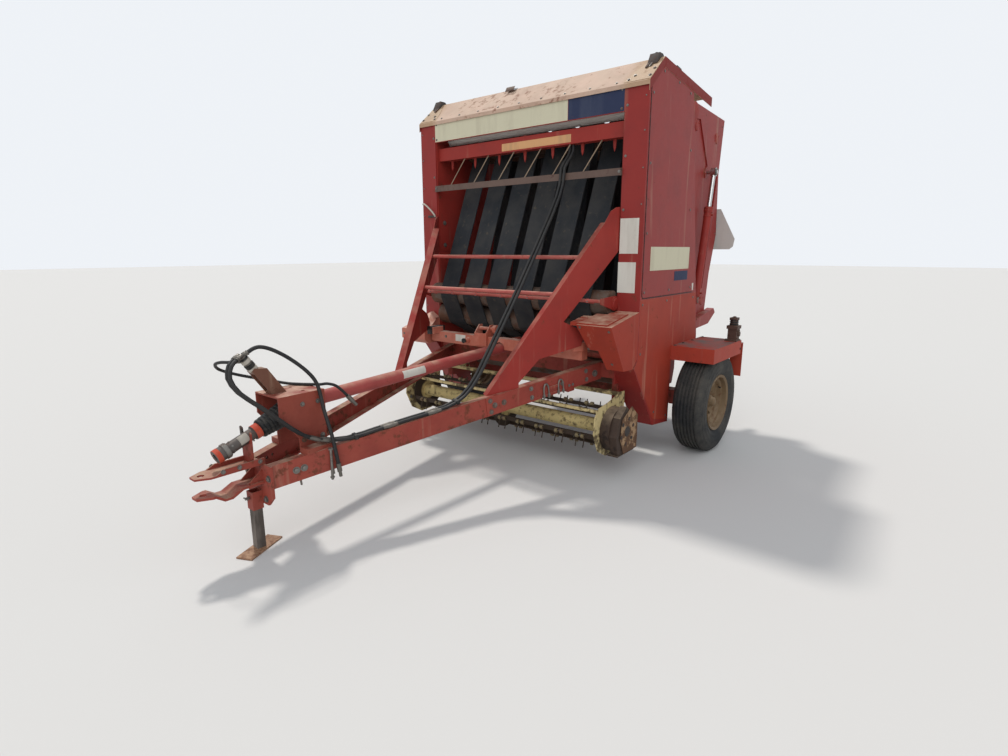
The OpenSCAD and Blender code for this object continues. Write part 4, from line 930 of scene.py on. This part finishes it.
class BALER_OT_bearings(bpy.types.Operator):
    """Flanged bearings of the drums and lacings of the belts"""
    bl_idname = "baler.bearings"
    bl_label = "Bearings and belt lacings"

    def execute(self, context):
        circle = 0.0385
        for body, drums, face, flange in (
                ("frame", FRONT_DRUMS + OTHER_DRUMS, 0.850,
                 [(-0.0004, 0.0), (-0.0004, 0.046), (0.004, 0.046), (0.005, 0.034), (0.009, 0.030), (0.010, 0.0)]),
                ("tailgate", GATE_DRUMS, 0.818,
                 [(-0.0004, 0.0), (-0.0004, 0.042), (0.003, 0.042), (0.004, 0.030), (0.0065, 0.026), (0.007, 0.0)])):
            bm = bmesh.new()
            for side in BOTH:
                for y, z, _ in drums:
                    centre = at(face * side, y, z)
                    add_ring(bm, centre, X * side, flange, 24)
                    for a in around(3, 0.5):
                        point = centre + Vector((0.004 * side, math.cos(a) * circle, math.sin(a) * circle))
                        add_bolt(bm, point, X * side, 0.0055, 0.004, washer=False)
            new_piece("bearings_" + body, bm, "red", body)
        # Steel lacing across each belt on the runs that face away from the front, at another place on each
        hooks, hook_pitch, above_drum = 14, 0.012, 0.0085
        for body, drums in (("frame", FRONT_DRUMS[3:5]), ("tailgate", GATE_DRUMS[2:4])):
            bm = bmesh.new()
            start, end = (at(0, y + radius + above_drum, z) for y, z, radius in drums)
            run = (end - start).normalized()
            turn = Matrix((X, run, X.cross(run))).transposed()
            for i in range(BELT_COUNT):
                point = start + (end - start) * (0.30 + 0.11 * ((i * 5) % 6)) + X * (i - 2.5) * BELT_PITCH
                for k in range(hooks):
                    add_block(bm, point + X * (k - 6.5) * hook_pitch, (0.007, 0.030, 0.0024), 0.0008, 1, turn)
            new_piece("belt_lacings_" + body, bm, "steel", body)
        return {"FINISHED"}


class BALER_OT_pickup(bpy.types.Operator):
    """Coils and clamps of the tines, end shield hardware"""
    bl_idname = "baler.pickup"
    bl_label = "Pickup"

    def execute(self, context):
        coil = context.scene.baler_sizes.coil_radius
        prong_x, coil_pitch, bar_face = 0.022, 0.0075, TINE_RADIUS + 0.004
        section = [(TINE_WIRE * math.cos(a), coil - TINE_WIRE + TINE_WIRE * math.sin(a)) for a in around(6)]
        coils, clamps = bmesh.new(), bmesh.new()
        for b in range(TINE_BARS):
            angle = math.radians(286 - b * 360 / TINE_BARS)
            out = Vector((0, math.sin(angle), -math.cos(angle)))
            for i in range(TINE_COUNT):
                point = REEL + X * (i - (TINE_COUNT - 1) / 2) * TINE_PITCH + out * bar_face
                for side in BOTH:
                    for k in (-1, 0, 1):
                        centre = point + X * (prong_x * side + coil_pitch * k) + out * coil * 0.55
                        add_ring(coils, centre, X, section, 12)
                add_bolt(clamps, point, out, 0.008, 0.009)
                add_rod(clamps, point - out * 0.0085, point - out * 0.020, 0.004, segments=8)
        new_piece("tine_coils", coils, "tine", "reel", smooth=60)
        new_piece("tine_clamps", clamps, "steel", "reel")
        # The peeling face of the left end shield, a little smaller than the shield itself
        outline = ((-1.000, 0.186), (-0.806, 0.186), (-0.806, 0.420), (-0.900, 0.500), (-1.030, 0.430), (-1.052, 0.300))
        single("end_shield_face", "cap_face", extrude,
               [at(1.0348, y * 0.985 - 0.0143, z * 0.985 + 0.005) for y, z in outline], X * 0.0008, body="pickup")
        bm = bmesh.new()
        centre = at(1.0356, -0.955, 0.335)
        circle = 0.085
        for a in around(6, 0.3):
            add_bolt(bm, centre + Vector((0, circle * math.cos(a), circle * math.sin(a))), X, 0.009, 0.006)
        add_ring(bm, centre, X, [(-0.0005, 0.0), (-0.0005, 0.036), (0.003, 0.034), (0.003, 0.0)], 32)
        new_piece("end_shield_bolts", bm, "dark_steel", "pickup")
        single("pickup_frame_bolts", "steel", add_bolts,
               [(0.905, y, z) for y, z in ((-0.800, 0.330), (-1.130, 0.300), (-1.080, 0.470), (-0.830, 0.530))],
               -X, 0.010, 0.007, BOTH, body="pickup")
        return {"FINISHED"}


class BALER_OT_wheels(bpy.types.Operator):
    """Hub caps, nuts, valves and sidewall rings"""
    bl_idname = "baler.wheels"
    bl_label = "Wheels"

    def execute(self, context):
        for side, label in SIDES:
            body, middle, out = "wheel_" + label, at(WHEEL_X * side, 0, WHEEL_Z), X * side
            single("hub_cap_" + label, "rim", add_ring, middle, out,
                   [(0.0495, 0.0), (0.0495, 0.040), (0.053, 0.041), (0.056, 0.037), (0.070, 0.035), (0.079, 0.029),
                    (0.084, 0.018), (0.086, 0.0)], 36, body=body, smooth=50)
            bm = bmesh.new()
            circle = 0.074
            for a in around(6):
                point = middle + Vector((0, circle * math.sin(a), circle * math.cos(a)))
                add_rod(bm, point + out * 0.004, point + out * 0.020, 0.0062, segments=10, bevel=0.001)
                add_ring(bm, point, out, [(-0.0082, 0.010), (-0.0082, 0.0155), (-0.006, 0.0155), (-0.006, 0.010)], 16)
            new_piece("wheel_studs_" + label, bm, "steel", body)
            bm = bmesh.new()
            point = middle + Vector((0, 0.150, 0.092)) + out * 0.030
            lean = Vector((side * 0.9, -0.25, -0.15)).normalized()
            add_rod(bm, point, point + lean * 0.034, 0.006, 0.0045, 12)
            add_rod(bm, point + lean * 0.032, point + lean * 0.044, 0.0052, segments=8, bevel=0.0008)
            new_piece("valve_" + label, bm, "guard", body, "tyre_rubber")
            bm = bmesh.new()
            for radius, height in ((0.238, 0.1085), (0.262, 0.1175), (0.300, 0.1195), (0.333, 0.1155)):
                add_ring(bm, middle, out, [(height - 0.004, radius - 0.004), (height + 0.0005, radius - 0.0025),
                                           (height + 0.0005, radius + 0.0025), (height - 0.004, radius + 0.004)], 64)
            new_piece("sidewall_rings_" + label, bm, "tyre", body, smooth=50)
        return {"FINISHED"}


class BALER_OT_trim(bpy.types.Operator):
    """Lever, strap, lamp bracket, fender and guard details"""
    bl_idname = "baler.trim"
    bl_label = "Trim"

    def execute(self, context):
        # Bent handle and its pivot bar on the right post
        single("handle_bar", "dark_steel", add_box, at(-0.948, -0.832, 1.784), at(-0.866, -0.8195, 1.800), 0.002)
        tube("bent_handle", [at(-0.870, -0.826, 1.790), at(-0.858, -0.836, 1.800), at(-0.905, -0.846, 1.848),
                             at(-0.955, -0.846, 1.886), at(-0.990, -0.842, 1.901), at(-1.000, -0.836, 1.893)],
             0.0065, "pale_grip")
        single("rubber_strap", "guard", add_box, at(-0.700, -1.1135, 0.8545), at(-0.643, -0.9665, 0.9155), 0.003)
        single("knob", "guard", add_rod, at(-0.316, -1.098, 0.832), at(-0.316, -1.079, 0.832), 0.020, 0.016, 20, 0.003)
        # Dark hooked end of the driveline rest
        hook = ((-0.0546, 0.540), (-0.0445, 0.540), (-0.0352, 0.6005), (-0.0432, 0.6500), (-0.0607, 0.6558),
                (-0.0607, 0.6395))
        single("hook_end", "dark_steel", extrude, [at(x, -3.0146, z) for x, z in hook], -FRONT * 0.0092)
        # Rubber rings and bolts of the bracket on the fender
        bm = bmesh.new()
        for z in (0.934, 0.950, 0.966, 0.982):
            add_ring(bm, at(1.290, 0.252, z), UP, [(0, 0.0275), (0, 0.031), (0.003, 0.033), (0.007, 0.033),
                                                   (0.010, 0.031), (0.010, 0.0275)], 32)
        new_piece("bracket_rings", bm, "guard", slot="guard_plastic")
        bm = bmesh.new()
        add_bolts(bm, [(1.252, 0.207, 0.837), (1.252, 0.288, 0.837)], UP, 0.006, 0.006)
        add_bolts(bm, [(1.325, 0.230, 0.850), (1.325, 0.278, 0.905), (1.325, 0.230, 0.905)], X, 0.006, 0.005)
        add_bolts(bm, [(1.290, 0.255, 1.005)], UP, 0.012, 0.009)
        new_piece("bracket_bolts", bm, "dark_steel")
        # Bolts of the fenders, and their rubber flaps
        for side, label in SIDES:
            bm = bmesh.new()
            add_bolts(bm, [(1.036, y, 0.825) for y in (-0.250, -0.100, 0.080, 0.296)], UP, 0.008, 0.006, (side,))
            add_bolts(bm, [(1.3375, 0.300, 0.760)], X, 0.007, 0.005, (side,))
            add_bolts(bm, [(x, 0.3685, 0.745) for x in (1.262, 1.320)], -FRONT, 0.007, 0.005, (side,))
            new_piece("fender_bolts_" + label, bm, "dark_steel")
            single("fender_flap_" + label, "guard", add_block, at(1.290 * side, 0.371, 0.627), (0.088, 0.005, 0.178),
                   0.001, slot="tyre_rubber")
        # Screws of the corner guards and of the cross channel
        bm = bmesh.new()
        for x, z in ((0.800, 0.885), (0.945, 0.790), (0.990, 1.020), (0.785, 1.035)):
            y = -1.1905 + (1.050 - z) * 0.187 / 0.305
            add_bolt(bm, at(x, y, z), (0, -0.853, -0.522), 0.006, 0.004)
        add_bolts(bm, [(x, -1.040, 0.838) for x in (-0.560, -0.180, 0.250, 0.560)], FRONT, 0.008, 0.006)
        add_bolts(bm, [(x, -1.110, 0.835) for x in (-0.985, -0.900, -0.790)], FRONT, 0.006, 0.004)
        new_piece("guard_screws", bm, "steel")
        # Bolts of the finger guides and of the header tube
        bm = bmesh.new()
        add_bolts(bm, [((i - 3) * BELT_PITCH, -1.0265, 1.187) for i in range(BELT_COUNT + 1)], (0, -0.97, 0.22), 0.005,
                  0.004, washer=False)
        add_bolts(bm, [(0.835, -0.8355, 2.008)], FRONT, 0.007, 0.006, BOTH)
        new_piece("guide_bolts", bm, "steel")
        # Screws of the tailgate's sign plate and latches
        bm = bmesh.new()
        add_bolts(bm, [(0.785, 1.0435, z) for z in (1.630, 1.730)], -FRONT, 0.007, 0.004)
        add_bolts(bm, [(0.812, 1.000, 2.55), (0.812, 0.988, 2.35), (0.812, 0.973, 2.20), (0.812, 0.998, 1.66)],
                  X, 0.006, 0.0095, BOTH, washer=False)
        new_piece("tailgate_screws", bm, "steel", "tailgate")
        return {"FINISHED"}


class BALER_OT_stage(bpy.types.Operator):
    """Floor, light and camera"""
    bl_idname = "baler.stage"
    bl_label = "Stage"

    def execute(self, context):
        scene = context.scene
        stage = scene.baler_stage
        floor = Finish("pale_floor", 0.9)
        floor.set(base_color=(*stage.floor_colour, 1.0))
        bm = bmesh.new()
        bmesh.ops.create_grid(bm, x_segments=1, y_segments=1, size=60)
        mesh = bpy.data.meshes.new("floor")
        bm.to_mesh(mesh)
        bm.free()
        ground = bpy.data.objects.new("floor", mesh)
        mesh.materials.append(floor.material)
        scene.collection.objects.link(ground)

        # The backdrop is only for what the camera sees, also in and through things; the soft light does the rest
        world = bpy.data.worlds.new("studio")
        scene.world = world
        world.use_nodes = True
        tree = world.node_tree
        tree.nodes.clear()
        camera_ray, glossy_ray, transmission_ray = (
            add_node(tree, "LightPath", output="Is %s Ray" % kind) for kind in ("Camera", "Glossy", "Transmission"))
        seen = camera_ray.math("MAXIMUM", glossy_ray).math("MAXIMUM", transmission_ray)
        soft = add_node(tree, "Background", {"Color": (0.88, 0.93, 1.0, 1), "Strength": 0.60})
        backdrop = add_node(tree, "Background", {"Color": (0.86, 0.89, 0.93, 1), "Strength": 1.0})
        add_node(tree, "OutputWorld", {"Surface": add_node(tree, "MixShader", {0: seen, 1: soft, 2: backdrop})})

        for name, energy, angle, direction, colour in (
                ("key", 2.0, 5.0, (-0.46, 0.22, 0.86), (1.0, 0.96, 0.91)),
                ("fill", 1.1, 60.0, (0.55, -0.80, 0.55), (0.95, 0.97, 1.0))):
            lamp = bpy.data.lights.new(name, "SUN")
            lamp.energy = energy
            lamp.angle = math.radians(angle)
            lamp.color = colour
            light = bpy.data.objects.new(name, lamp)
            light.matrix_world = aim(direction).to_4x4()
            scene.collection.objects.link(light)

        camera_data = bpy.data.cameras.new("camera")
        camera_data.sensor_width = 36.0
        camera_data.sensor_fit = "HORIZONTAL"
        camera_data.lens = stage.lens
        camera_data.clip_end = 500
        camera = bpy.data.objects.new("camera", camera_data)
        # The camera looks forward along its yaw, down by its pitch, and is turned about that line by its roll
        yaw, pitch, roll = math.radians(39.29), math.radians(12.47), math.radians(-0.11)
        forward = Vector((-math.sin(yaw) * math.cos(pitch), math.cos(yaw) * math.cos(pitch), -math.sin(pitch)))
        right = Vector((math.cos(yaw), math.sin(yaw), 0))
        above = right.cross(forward)
        across = math.cos(roll) * right + math.sin(roll) * above
        above = math.cos(roll) * above - math.sin(roll) * right
        turn = Matrix((across, above, -forward)).transposed().to_4x4()
        camera.matrix_world = Matrix.Translation(at(2.734, -4.327, 1.516)) @ turn
        scene.collection.objects.link(camera)
        scene.camera = camera
        scene.view_settings.view_transform = "Standard"
        return {"FINISHED"}


class BALER_PT_panel(bpy.types.Panel):
    bl_idname = "BALER_PT_panel"
    bl_label = "Round baler"
    bl_space_type = "VIEW_3D"
    bl_region_type = "UI"
    bl_category = "Baler"

    def draw(self, context):
        for operator in OPERATORS:
            self.layout.operator(operator.bl_idname)


OPERATORS = (BALER_OT_finish, BALER_OT_stage, BALER_OT_hoses, BALER_OT_boards, BALER_OT_panels, BALER_OT_fasteners,
             BALER_OT_driveline, BALER_OT_hydraulics, BALER_OT_bearings, BALER_OT_pickup, BALER_OT_wheels,
             BALER_OT_trim)
CLASSES = (BalerSizes, BalerStage) + OPERATORS + (BALER_PT_panel,)


def register():
    for each in CLASSES:
        bpy.utils.register_class(each)
    bpy.types.Scene.baler_sizes = PointerProperty(type=BalerSizes)
    bpy.types.Scene.baler_stage = PointerProperty(type=BalerStage)


def unregister():
    del bpy.types.Scene.baler_stage
    del bpy.types.Scene.baler_sizes
    for each in reversed(CLASSES):
        bpy.utils.unregister_class(each)


def main():
    register()
    for operator in OPERATORS:
        group, name = operator.bl_idname.split(".")
        getattr(getattr(bpy.ops, group), name)()


if __name__ == "__main__":
    main()
